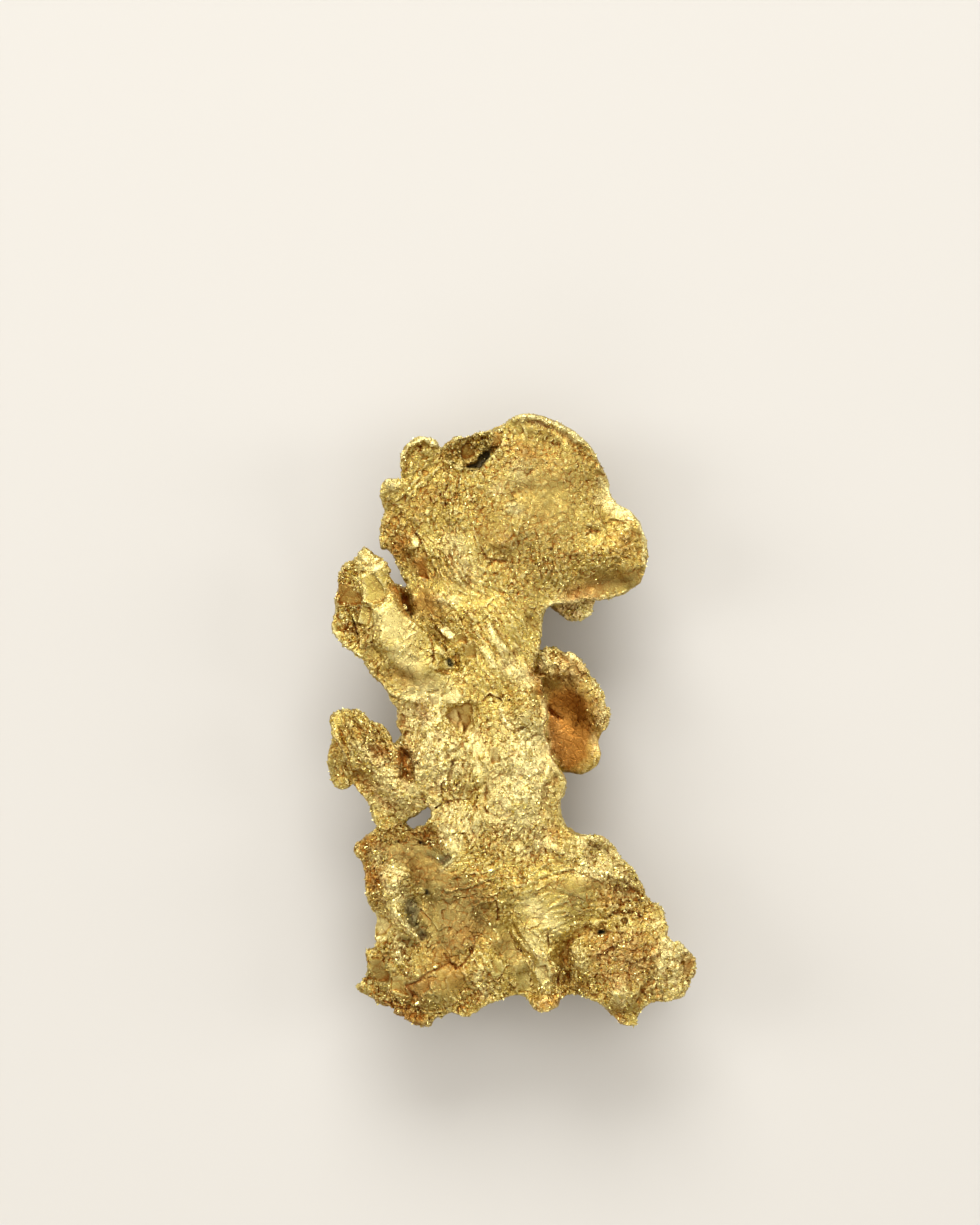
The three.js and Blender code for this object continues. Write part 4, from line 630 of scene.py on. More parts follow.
# Tones and textures on the front: (amount, width, points). One point makes a round spot and several
# make a line.
MARKS = {
    # lumpy at half a millimetre
    "coarse": [
        (0.5, 2.0, [(-3.6, -7.0), (-2.2, -9.6)]), (0.5, 1.6, [(0.8, -7.0), (0.0, -10.0)]),
        (0.8, 1.2, [(-3.2, -0.2), (-2.2, -2.8)]), (0.3, 1.0, [(0.5, -1.4), (0.4, -3.2)]),
        (0.8, 0.9, [(-6.0, -0.4), (-4.6, -3.0)]),
        (1.0, 0.6, [(-5.5, -5.4), (-5.2, -7.4), (-4.4, -8.6), (-4.8, -9.4)]),
        (0.9, 0.6, [(-5.0, -4.6), (-3.2, -4.7)]), (0.9, 0.9, [(2.6, -5.2), (4.4, -6.2)]),
        (0.8, 0.9, [(4.2, -8.0), (5.2, -7.4)]), (0.6, 1.4, [(4.6, -9.4)]), (1.0, 0.8, [(6.6, -9.9)]),
        (0.9, 0.7, [(-5.9, -11.0), (-3.6, -12.0)]), (0.8, 0.6, [(2.3, -10.4), (3.4, -10.8)]),
        (0.8, 0.6, [(4.4, -11.8)]), (0.8, 0.8, [(-4.6, 8.4), (-4.4, 6.4)]),
        (0.7, 0.8, [(-2.8, 2.6), (-2.4, 4.0)]), (0.8, 0.7, [(-6.6, 6.0), (-6.6, 3.4), (-5.4, 2.2)]),
        (0.8, 0.6, [(1.2, 2.4), (3.3, 1.8), (3.7, 0.0)]), (0.7, 1.0, [(0.3, 1.0), (0.4, -0.4)]),
        (0.8, 0.6, [(-2.4, 10.8), (-0.6, 11.3)]), (0.9, 0.8, [(0.6, -4.9), (-1.6, -4.4)]),
        (0.6, 0.7, [(2.6, 4.4)]), (0.5, 0.5, [(1.8, -3.0)]),
    ],
    # granular at a sixth of a millimetre
    "grit": [
        (0.4, 1.2, [(0.5, -1.4), (0.4, -3.2)]), (1.0, 0.6, [(-5.5, -5.5), (-5.3, -7.3)]),
        (0.8, 1.3, [(4.6, -9.4)]), (1.0, 0.8, [(6.7, -9.9)]), (0.8, 0.7, [(-6.7, 5.6), (-6.3, 3.4)]),
        (1.0, 0.8, [(-5.9, -0.3), (-5.2, -1.4)]), (0.8, 1.3, [(-2.2, 8.8)]),
        (0.9, 0.5, [(3.4, 1.6), (3.7, 0.2)]), (0.5, 1.2, [(-3.2, 0.0), (-2.6, -3.2)]),
        (0.9, 0.7, [(3.4, -5.2), (4.6, -6.4)]), (1.0, 0.5, [(-5.2, -4.5), (-3.1, -4.7)]),
        (0.9, 0.6, [(-2.5, 10.9), (-1.0, 11.3)]), (0.9, 0.8, [(-4.6, -3.3)]),
        (0.9, 0.7, [(2.3, -10.3), (3.3, -10.8)]), (0.9, 0.5, [(1.2, 2.4)]), (0.7, 0.8, [(-4.4, 7.3)]),
        (0.9, 0.6, [(2.7, 4.4)]), (0.9, 0.8, [(4.9, -7.4)]), (0.8, 0.7, [(-5.2, -11.3), (-3.4, -12.1)]),
        (0.8, 0.7, [(-5.1, -9.3), (-4.4, -9.6)]), (0.6, 1.2, [(1.0, 6.2)]),
        (0.8, 0.8, [(-0.4, -10.9), (-1.4, -11.2)]), (0.7, 0.8, [(-0.8, -4.6), (1.0, -5.0)]),
    ],
    "satin": [
        (0.8, 1.0, [(2.4, 0.4), (2.3, -1.2)]), (0.5, 0.8, [(-3.6, 1.6)]), (0.4, 1.2, [(2.0, 9.4)]),
        (0.4, 0.7, [(-2.8, -7.9)]), (0.3, 0.8, [(1.2, -7.7)]),
        (0.6, 0.3, [(-0.6, -8.5), (0.0, -9.2), (0.1, -9.8), (0.5, -10.5)]), (0.6, 0.5, [(-3.7, 4.8)]),
        (0.6, 0.5, [(3.4, 5.3), (4.6, 5.7)]),
    ],
    "stain": [
        (0.5, 2.0, [(1.4, 9.6), (0.9, 7.4)]), (0.5, 0.5, [(-6.6, -0.5), (-6.0, -0.9)]),
        (0.4, 0.8, [(4.6, -9.3), (4.2, -10.4)]), (0.6, 0.3, [(-2.0, -7.2), (-1.0, -8.4), (-0.2, -9.4)]),
        (0.5, 0.3, [(-4.2, -5.3), (-3.0, -5.6)]), (0.55, 1.4, [(-2.8, -7.6), (-3.2, -10.2)]),
        (0.3, 0.9, [(-5.4, -10.6), (-4.2, -10.2)]), (0.4, 0.5, [(-4.0, 1.8), (-3.3, 1.5)]),
        # The first line here paints shade into the down-facing band under the right lobe.
        (0.8, 0.5, [(2.4, 5.1), (3.6, 5.3), (4.8, 5.7)]), (0.5, 0.5, [(-1.1, 8.8), (-1.0, 7.2)]),
        (0.6, 0.35, [(-3.1, 9.3), (-3.6, 8.4)]), (0.7, 0.5, [(-4.7, 7.9), (-4.5, 7.0)]),
        (0.8, 0.35, [(-4.4, 6.9), (-3.9, 6.3)]), (0.7, 0.4, [(-2.5, 10.8), (-1.7, 10.6)]),
        (0.5, 0.3, [(0.1, 9.05), (0.8, 9.15)]), (0.5, 0.4, [(2.2, 11.2), (3.2, 10.4), (3.5, 9.7)]),
        # The second line here paints shade into the crease below the upper slot.
        (0.3, 0.8, [(4.4, 6.8)]), (0.8, 0.2, [(-4.7, 5.3), (-4.4, 4.8), (-4.15, 4.2)]),
        (0.6, 0.4, [(-3.4, 4.8), (-2.9, 4.2)]), (0.5, 0.3, [(-6.2, 3.7), (-5.8, 3.1)]),
        (0.6, 0.3, [(-5.6, 2.6), (-5.0, 1.7)]), (0.5, 0.3, [(0.6, 4.1), (1.0, 3.9)]),
        (0.5, 0.35, [(-3.6, 0.5)]), (0.7, 0.25, [(-4.5, 0.4), (-4.3, -0.6)]),
        (0.9, 0.3, [(-4.3, -1.3), (-4.25, -2.3)]), (0.5, 0.15, [(-2.3, -1.8), (-2.9, -2.9)]),
        (0.5, 0.15, [(-1.05, -2.4), (-1.1, -3.6)]), (0.5, 0.2, [(1.7, -2.4), (1.3, -3.0), (1.25, -3.8)]),
        (0.9, 0.25, [(-6.2, -2.2), (-5.6, -2.7), (-4.9, -3.4)]), (0.6, 0.4, [(-7.0, -1.2), (-7.0, -2.2)]),
        (0.5, 0.4, [(-6.3, -0.2), (-5.4, -0.8)]), (1.0, 0.5, [(-5.4, -5.1), (-4.2, -4.8), (-3.1, -4.9)]),
        (0.7, 0.3, [(-5.8, -5.4), (-5.6, -6.6), (-5.4, -7.4)]), (0.6, 0.6, [(-2.6, -6.4), (-1.2, -6.8)]),
        (0.8, 0.35, [(-2.4, -7.2), (-1.9, -7.5)]), (0.6, 0.4, [(-1.6, -6.6), (-1.2, -7.0)]),
        (0.5, 1.2, [(-2.6, -8.2)]), (0.6, 0.3, [(-1.4, -7.9), (-0.8, -8.1)]),
        (0.7, 0.25, [(-0.3, -8.8), (0.0, -9.3), (0.1, -9.9)]), (0.6, 0.5, [(-2.5, -10.4)]),
        (0.4, 0.8, [(-2.4, -9.4)]), (0.7, 0.3, [(-5.4, -11.2), (-4.2, -11.9), (-3.4, -12.2)]),
        (0.7, 0.25, [(3.1, -8.4), (2.5, -8.6), (2.2, -9.2), (2.1, -10.0)]),
        (0.7, 0.3, [(3.2, -5.1), (4.1, -5.5)]), (0.6, 0.2, [(0.9, -6.5), (2.2, -6.7), (2.6, -7.05)]),
        (0.5, 0.3, [(2.6, -6.5), (3.6, -6.7)]), (0.8, 0.3, [(4.1, -6.8), (5.0, -7.0)]),
        (0.7, 0.2, [(3.8, -7.9), (4.4, -7.7), (5.1, -7.8)]), (0.9, 0.25, [(3.4, -8.45), (3.8, -8.5)]),
        (0.5, 0.7, [(4.8, -9.2)]), (0.6, 0.3, [(5.5, -10.4), (5.1, -11.1)]),
        (0.6, 0.3, [(3.7, -11.1), (4.2, -11.9)]), (0.7, 0.3, [(2.1, -10.4), (3.1, -10.8)]),
        (0.6, 0.25, [(0.4, -5.7), (0.9, -5.6)]), (0.5, 0.25, [(-1.0, -5.0), (-0.5, -5.4)]),
        (0.6, 0.3, [(1.4, 0.4), (1.3, 1.4)]), (0.6, 0.5, [(1.6, 1.6), (2.4, 1.0)]),
    ],
    "rust": [
        (0.5, 0.9, [(2.3, 0.6), (2.4, -1.0)]), (0.45, 0.3, [(2.0, 4.4), (2.5, 4.2)]),
        (0.5, 0.4, [(3.3, 0.6), (3.3, -1.2), (2.6, -2.1)]), (0.9, 0.25, [(-4.4, -1.3), (-4.25, -2.2)]),
        # The first line here paints shade into the crease below the upper slot.
        (0.8, 0.2, [(-4.65, 5.3), (-4.35, 4.9), (-4.15, 4.4)]), (0.6, 0.4, [(-3.8, 4.7)]),
        # The second mark here paints shade into the down-facing band under the right lobe.
        (0.5, 0.2, [(1.7, 4.45), (2.3, 4.4)]), (0.4, 0.4, [(2.4, 5.0), (3.4, 5.3)]),
        (0.5, 0.3, [(-4.3, 7.2), (-4.6, 6.7)]), (0.7, 0.25, [(-3.7, 6.3), (-3.5, 5.8)]),
        (0.3, 0.4, [(-0.4, 7.2)]), (0.4, 0.4, [(-3.7, 4.9), (-3.3, 4.5)]),
        (0.4, 0.3, [(-4.6, 1.8), (-4.3, 1.6)]), (0.5, 0.3, [(-3.6, 0.5), (-3.5, 0.2)]),
        (0.7, 0.25, [(-4.25, -1.6)]), (0.8, 0.3, [(-5.3, -1.2), (-5.0, -1.3)]),
        (0.5, 0.5, [(-5.5, -6.3)]), (0.5, 0.3, [(-4.0, -10.7), (-3.8, -11.2)]),
        (0.4, 0.5, [(-2.7, -9.6), (-2.2, -10.2)]), (0.5, 0.4, [(3.8, -7.2)]), (0.35, 0.9, [(4.6, -9.3)]),
        (0.6, 0.35, [(1.2, -11.4), (1.7, -11.2)]), (0.6, 0.25, [(7.1, -9.8)]),
        (0.4, 0.4, [(-4.6, -11.6), (-3.8, -12.0)]), (0.3, 0.6, [(-1.8, -8.6)]),
        (0.5, 0.3, [(4.3, -12.0)]), (0.5, 0.25, [(1.6, -4.5)]), (0.4, 0.5, [(4.6, 7.0)]),
        (0.4, 0.3, [(0.2, 10.9), (0.7, 10.6)]), (0.4, 0.2, [(0.1, -1.35)]), (0.3, 0.2, [(0.3, -2.3)]),
        (0.6, 0.3, [(1.0, 2.0), (1.2, 1.2)]), (0.5, 0.3, [(-5.9, -5.1), (-5.6, -4.9)]),
    ],
    "film": [
        (0.7, 0.6, [(-5.0, -5.2), (-3.8, -5.2)]), (0.9, 0.3, [(-3.3, -5.4), (-2.9, -5.5)]),
        (0.6, 0.12, [(-0.1, -7.2), (0.9, -7.1)]), (0.55, 0.9, [(-4.6, -10.0), (-3.6, -10.8)]),
        (0.35, 1.8, [(1.4, 9.6), (0.9, 7.4)]), (0.35, 0.8, [(-5.4, -10.4), (-4.4, -10.6)]),
        (0.5, 0.5, [(-3.6, -6.0), (-2.8, -6.5)]), (0.5, 0.12, [(1.5, -6.6), (2.1, -6.75), (2.6, -7.05)]),
        (0.4, 0.4, [(-0.7, -8.4), (-0.2, -9.4), (0.3, -10.2)]), (0.4, 0.3, [(-2.6, -7.3), (-2.0, -7.5)]),
        (1.0, 0.25, [(-4.1, -7.6), (-3.9, -8.0), (-3.5, -8.5)]), (0.9, 0.2, [(-4.3, -8.9), (-3.9, -9.0)]),
        (0.7, 0.15, [(-4.3, -9.4), (-4.2, -9.6)]), (0.6, 0.25, [(-4.25, -6.9), (-4.1, -7.3)]),
        (0.5, 0.3, [(-3.8, -6.5), (-3.4, -6.9)]), (0.7, 0.25, [(-2.9, -5.6), (-2.6, -5.5)]),
        (0.5, 0.3, [(3.2, -5.3), (3.7, -5.0)]), (0.5, 0.3, [(0.1, 9.6), (-0.5, 9.4)]),
        (0.4, 0.3, [(0.9, -4.5)]), (0.4, 0.2, [(0.2, 0.5), (0.6, 0.1)]), (0.5, 0.15, [(0.9, -2.65)]),
        (0.4, 0.3, [(-2.3, -1.4)]), (0.6, 0.3, [(2.2, -7.15), (2.9, -7.05)]),
        (0.5, 0.2, [(0.2, -10.1), (0.6, -10.6)]), (0.5, 0.25, [(-5.8, 2.8), (-5.7, 2.5)]),
        (0.5, 0.2, [(4.4, -7.0), (4.6, -7.0)]), (0.5, 0.2, [(5.5, -10.4)]), (0.5, 0.3, [(-5.9, -10.8)]),
        (0.6, 0.15, [(1.9, 11.0)]), (0.5, 0.2, [(0.8, 4.0)]), (0.4, 0.3, [(5.0, 5.9)]),
        (0.5, 0.15, [(-4.8, -11.2), (-4.2, -11.3)]), (0.5, 0.3, [(-7.1, -2.0)]),
    ],
    # Pale cream gold, partly clean metal and partly a painted highlight where faces catch the light.
    "pale": [
        (1.0, 1.1, [(0.6, -1.2), (0.4, -2.4), (0.2, -3.6)]), (1.0, 1.0, [(-3.4, 0.4), (-2.8, -1.8)]),
        (0.7, 0.3, [(-3.7, -1.6), (-3.7, -2.3)]), (0.7, 0.5, [(-1.6, -0.8), (-1.2, -1.8)]),
        (0.6, 0.6, [(-2.4, -3.7), (-1.6, -4.2)]), (1.0, 0.4, [(2.8, -5.1), (2.85, -5.9)]),
        (1.0, 0.35, [(3.2, -6.0), (4.4, -6.2)]), (0.8, 0.3, [(-4.8, -5.9), (-4.6, -6.8)]),
        (0.9, 0.3, [(-4.6, -7.2), (-4.5, -7.7)]), (1.0, 0.2, [(-4.5, -7.8), (-3.85, -8.6)]),
        (0.6, 0.2, [(-4.5, -8.6), (-4.5, -9.6)]), (0.45, 0.6, [(-5.0, 4.0), (-4.4, 3.4)]),
        (0.5, 0.5, [(-4.4, 2.7), (-4.0, 2.2)]), (0.8, 0.15, [(0.3, 12.1), (1.6, 11.85), (2.7, 11.2)]),
        (0.8, 0.15, [(3.6, 9.6), (3.85, 9.2)]), (0.9, 0.3, [(3.7, 8.8), (4.7, 8.25)]),
        (0.7, 0.1, [(5.2, 7.7), (5.4, 7.0), (5.35, 6.3)]), (0.9, 0.25, [(-4.85, 9.4)]),
        (0.5, 0.12, [(-4.4, 10.2), (-4.1, 11.0), (-3.5, 11.3), (-3.0, 11.0)]),
        (0.7, 0.1, [(-2.3, 11.3), (-1.6, 11.4), (-0.9, 11.6)]), (0.5, 0.5, [(-2.4, 7.0), (-1.8, 5.8)]),
        (0.6, 0.2, [(0.0, 8.5), (0.2, 8.3)]), (0.5, 0.25, [(-0.6, 9.2)]), (0.4, 0.5, [(0.3, 9.9)]),
        (0.7, 0.12, [(-0.9, 3.7), (-0.3, 2.8)]), (0.6, 0.12, [(-1.2, 2.8), (-0.7, 2.2)]),
        (0.7, 0.2, [(-2.8, 4.8), (-2.3, 4.75)]), (0.6, 0.4, [(-0.1, 2.2), (0.6, 1.6)]),
        (0.7, 0.12, [(-0.4, 0.3), (-0.3, -0.1), (0.0, -0.4)]), (0.7, 0.12, [(1.3, 0.9), (1.35, 0.1)]),
        (0.8, 0.3, [(1.0, -4.9), (1.5, -4.9)]), (0.7, 0.25, [(0.2, -5.2), (0.6, -5.3)]),
        (0.6, 0.3, [(-2.7, -4.7), (-2.3, -5.1)]), (0.6, 0.3, [(2.6, -9.3), (2.8, -9.7)]),
        (0.6, 0.3, [(4.3, -10.6), (4.4, -11.2)]), (0.9, 0.6, [(6.4, -9.3), (6.4, -10.4)]),
        (0.5, 0.3, [(-1.3, -10.3), (-1.1, -11.0)]), (0.6, 0.2, [(-4.8, -2.4), (-4.5, -3.2)]),
        (0.6, 0.4, [(-4.4, -2.8)]), (0.5, 0.4, [(0.8, -7.4), (1.6, -8.2)]), (0.5, 0.3, [(1.3, 2.3)]),
        # The first mark here paints the sunken nub under the crown lighter, against the shade that falls
        # on it.
        (0.9, 0.6, [(2.2, 4.3), (2.9, 4.4)]), (1.0, 0.12, [(-2.85, -6.0), (-2.25, -5.45)]),
        (0.8, 0.3, [(-2.6, -4.4), (-2.2, -5.0)]), (0.3, 0.6, [(3.9, -9.3), (5.0, -10.0)]),
        (0.5, 0.3, [(-6.0, 6.4), (-5.6, 6.2)]), (0.6, 0.4, [(-5.9, -1.2), (-5.2, -2.0)]),
        (0.5, 0.3, [(1.3, 2.5), (1.6, 2.1)]), (0.7, 0.12, [(2.2, 2.75), (2.9, 2.4), (3.3, 1.8)]),
        (0.6, 0.25, [(3.4, 1.4), (3.7, 0.9), (3.7, -0.2)]), (0.5, 0.15, [(3.5, -1.2), (3.3, -0.7)]),
        (0.35, 0.4, [(2.2, 2.3), (2.5, 1.8)]), (0.9, 0.7, [(-4.9, -2.8), (-4.3, -3.1)]),
        (1.0, 0.4, [(-4.75, -6.0), (-4.7, -7.0), (-4.5, -7.7)]), (0.7, 0.7, [(3.4, -5.0), (4.4, -6.2)]),
        (0.25, 0.7, [(4.4, -8.9), (4.2, -10.2)]), (0.4, 0.6, [(0.8, -9.0), (1.1, -10.2)]),
        (0.8, 0.25, [(-5.3, -5.4), (-5.0, -5.9), (-4.9, -6.8)]), (0.7, 0.1, [(-5.5, 4.5), (-5.0, 4.75)]),
        (0.5, 0.3, [(5.8, -8.2)]), (0.5, 0.4, [(-3.3, -3.3)]),
    ],
    # rims of the leaves that stay round and smooth
    "smooth rim": [
        (1.0, 3.6, [(2.5, 9.0)]), (1.0, 1.6, [(4.6, 6.8)]), (1.0, 1.2, [(0.8, 11.8)]),
    ],
}

# Bright broken chips of crystal: (x, y, length, direction in degrees).
CHIPS = [
    (-4.72, -5.92, 0.3, 10), (-4.42, -5.98, 0.24, 60), (-4.85, -6.6, 0.22, -30), (-4.75, -7.25, 0.3, 20),
    (-4.4, -7.4, 0.26, -20), (-4.5, -7.85, 0.28, 50), (-4.28, -8.2, 0.26, -40), (-4.0, -8.5, 0.22, -50),
    (-4.55, -9.35, 0.24, 0), (-4.3, -9.1, 0.2, 70), (2.8, -5.3, 0.34, 70), (2.85, -5.75, 0.34, 20),
    (3.4, -5.95, 0.3, -20), (3.85, -6.1, 0.3, 30), (4.15, -5.95, 0.28, -30), (4.4, -6.3, 0.26, 10),
    (3.6, -6.25, 0.24, -50), (-2.4, -4.85, 0.28, -60), (-2.6, -5.05, 0.24, 20), (-5.5, -5.3, 0.2, 20),
    (2.3, 4.35, 0.2, 30), (2.75, 4.5, 0.2, -30), (2.6, 4.15, 0.16, 60), (3.05, 4.35, 0.16, 20),
    (-0.95, -3.5, 0.22, 70), (-3.6, -2.2, 0.2, 50), (-2.9, -3.0, 0.2, 20), (0.9, -6.1, 0.2, 20),
    (-3.75, -11.38, 0.36, 25), (-4.4, -11.35, 0.22, -40), (-0.8, -6.05, 0.38, 10),
    (-0.25, -7.48, 0.24, 80), (-0.88, -8.2, 0.24, -50), (-0.7, -8.42, 0.2, -50),
    (-3.5, -7.1, 0.2, 30), (-3.25, -7.35, 0.16, -40), (-3.75, -8.1, 0.18, 60),
    (-3.05, -9.9, 0.24, 0), (-4.95, -1.65, 0.24, 60), (-5.05, -1.95, 0.16, -20),
    (6.95, -10.55, 0.24, 20), (6.75, -10.85, 0.22, 60), (0.95, -4.85, 0.26, -60),
    (1.3, -4.88, 0.28, 50), (0.25, -5.45, 0.24, -50), (0.55, -5.25, 0.26, -60),
    (1.55, -6.68, 0.2, -20), (0.95, -7.25, 0.18, -50), (5.0, -12.05, 0.2, 30),
    (-1.15, -4.4, 0.24, 60), (-2.45, -4.55, 0.26, -60), (-2.85, -4.9, 0.2, 40),
    (-1.85, 9.55, 0.14, 45), (-2.0, 9.72, 0.12, 80), (-1.75, 9.45, 0.12, 60), (-2.45, 8.65, 0.14, -50),
    (0.15, 7.55, 0.14, -50), (1.1, 6.2, 0.14, 50), (0.2, 5.85, 0.16, -70), (1.25, 5.3, 0.18, 85),
    (-3.2, 6.75, 0.16, 60), (-4.55, 7.75, 0.16, -60), (0.25, 6.5, 0.16, 80), (1.9, 6.9, 0.18, 80),
    (-2.75, 10.1, 0.14, 0), (-0.25, 9.8, 0.14, 0), (-0.3, 7.8, 0.16, 80), (-2.65, 7.1, 0.2, 75),
    (4.3, 7.6, 0.14, 0), (3.0, 1.5, 0.16, 40), (0.1, -4.55, 0.16, 30), (1.25, -2.3, 0.3, 65),
    (-2.1, -0.55, 0.2, -40), (-4.6, -1.5, 0.14, 40), (3.3, -6.05, 0.2, 10), (2.0, -4.5, 0.18, 20),
]


# ---------------------------------------------------------------- settings


def colour_setting(name, what, colour):
    """A setting that holds an sRGB hex colour."""
    return bpy.props.StringProperty(name=name, description="sRGB hex colour of " + what, default=colour)


class SkinSettings(bpy.types.PropertyGroup):
    """Sizes and colours of the gold's skin."""

    voxel: bpy.props.FloatProperty(
        name="Mesh size", description="Side of the skin's mesh faces, in mm", default=0.056, min=0.04
    )
    softening: bpy.props.IntProperty(
        name="Softening", description="Rounds that soften the solid's flat facets", default=9, min=0
    )
    levelling: bpy.props.IntProperty(
        name="Levelling", description="Rounds that round off the front's and back's facets", default=60
    )
    triangles: bpy.props.IntProperty(
        name="Triangles", description="Most triangles that the skin keeps", default=196000, min=1000
    )
    relief: bpy.props.FloatProperty(
        name="Relief", description="Strength of the crumpled relief", default=1.0, min=0.0
    )
    # Worn gold: mixed in by random patches and by the pale tone, which is partly a painted highlight.
    bright: colour_setting("Worn gold", "the clean gold", "#EEDC8E")
    # Crest colour: mixed in on convex ridges and on the pale tone, partly worn clean gold and partly a
    # painted highlight.
    crest_sheen: colour_setting("Crests", "the highlit crests", "#FFF4AE")
    body: colour_setting("Gold", "the metal", "#C5B158")
    stain: colour_setting("Iron stain", "the metal under iron stain", "#AC8A44")
    # Seams: oxide between grains and in crevices, and also painted shade in the hollows.
    seam: colour_setting("Seams", "the iron oxide between grains", "#8A5016")
    crack: colour_setting("Cracks", "the iron oxide in open cracks", "#78401C")
    rust: colour_setting("Rust", "the most stained metal", "#AC6824")
    # Painted shade in deep gaps and dark valleys.
    gap: colour_setting("Gaps", "the dirt in deep gaps", "#625E48")
    film: colour_setting("Film", "the grey green film", "#8A8654")


class CrystalSettings(bpy.types.PropertyGroup):
    """Sizes of the small loose crystals on the skin."""

    size: bpy.props.FloatProperty(
        name="Crystal size",
        description="Length of a usual crystal",
        default=0.1 * MM,
        subtype="DISTANCE",
        unit="LENGTH",
    )
    density: bpy.props.FloatProperty(
        name="Density", description="Crystals on a square millimetre of gritty gold", default=110.0
    )
    seed: bpy.props.IntProperty(name="Seed", description="Fixed seed of the scatter", default=7)
    chip_width: bpy.props.FloatProperty(
        name="Chip width", description="Width of a bright chip over its length", default=0.55
    )
    chip_thickness: bpy.props.FloatProperty(
        name="Chip thickness", description="Thickness of a bright chip over its length", default=0.4
    )
    chip_lean: bpy.props.FloatProperty(
        name="Chip lean", description="Range of the chips' leaning, in radians", default=0.5
    )


class StageSettings(bpy.types.PropertyGroup):
    """The table and the camera."""

    table: colour_setting("Table", "the table", "#CBC8C2")
    lens: bpy.props.FloatProperty(
        name="Lens", description="Focal length in mm", default=150.0, min=10.0
    )
    shown_height: bpy.props.FloatProperty(
        name="Shown height",
        description="Height of the picture at the piece",
        default=49.0 * MM,
        subtype="DISTANCE",
        unit="LENGTH",
    )


# ---------------------------------------------------------------- the skin


def solid_in_millimetres():
    """The solid's mesh with the sunken leaves, in mm. The solid's doubled corners are merged."""
    source = bmesh.new()
    source.from_mesh(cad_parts[NODE].data)
    bmesh.ops.remove_doubles(source, verts=source.verts, dist=1e-8)
    bmesh.ops.scale(source, verts=source.verts, vec=(1 / MM, 1 / MM, 1 / MM))
    for lowest, highest, corners in WEBS:
        places = [(x - DRAWN_MIDDLE[0], y - DRAWN_MIDDLE[1]) for x, y in corners]
        bottom = [source.verts.new((x, y, lowest)) for x, y in places]
        top = [source.verts.new((x, y, highest)) for x, y in places]
        source.faces.new(bottom[::-1])
        source.faces.new(top)
        for i in range(len(places)):
            source.faces.new((bottom[i - 1], bottom[i], top[i], top[i - 1]))
    mesh = bpy.data.meshes.new("solid_mm")
    source.to_mesh(mesh)
    source.free()
    return mesh


def evaluated(obj):
    """The object's mesh with its modifiers applied, as a mesh of its own."""
    graph = bpy.context.evaluated_depsgraph_get()
    return bpy.data.meshes.new_from_object(obj.evaluated_get(graph), depsgraph=graph)


def as_plain_mesh(obj, name):
    """The evaluated mesh of an object. The object is removed."""
    mesh = evaluated(obj)
    mesh.name = name
    bpy.data.objects.remove(obj)
    return mesh


def even_mesh(mesh, size, name):
    """The same body in faces of one even size."""
    obj = in_scene(name, mesh)
    remesh = obj.modifiers.new("Even faces", "REMESH")
    remesh.mode = "VOXEL"
    remesh.voxel_size = size
    return as_plain_mesh(obj, name)


def thinned(obj, most, spared):
    """The object's mesh with few enough triangles. The corners that aren't spared lose theirs first."""
    obj.data.calc_loop_triangles()
    have = len(obj.data.loop_triangles)
    group = obj.vertex_groups.new(name="may go")
    group.add(np.flatnonzero(spared < 0.5).tolist(), 1.0, "REPLACE")
    # a closed mesh has two triangles to a corner
    sparing = obj.modifiers.new("Fewer faces behind", "DECIMATE")
    sparing.ratio = min(1.0, (2 * np.count_nonzero(spared >= 0.5) + SHARE_BEHIND * most) / have)
    sparing.vertex_group = group.name
    evenly = obj.modifiers.new("Fewer faces", "DECIMATE")
    evenly.ratio = min(1.0, most / (sparing.ratio * have))
    thin = evaluated(obj)
    obj.modifiers.clear()
    obj.vertex_groups.remove(group)
    close_up(thin)
    return thin


def close_up(mesh):
    """Shrinks away the few edges of a thinned mesh that don't join two faces, which closes it."""
    body = bmesh.new()
    body.from_mesh(mesh)
    stray = [edge for edge in body.edges if not edge.is_manifold]
    while stray:
        bmesh.ops.collapse(body, edges=stray, uvs=False)
        stray = [edge for edge in body.edges if not edge.is_manifold]
    body.to_mesh(mesh)
    body.free()


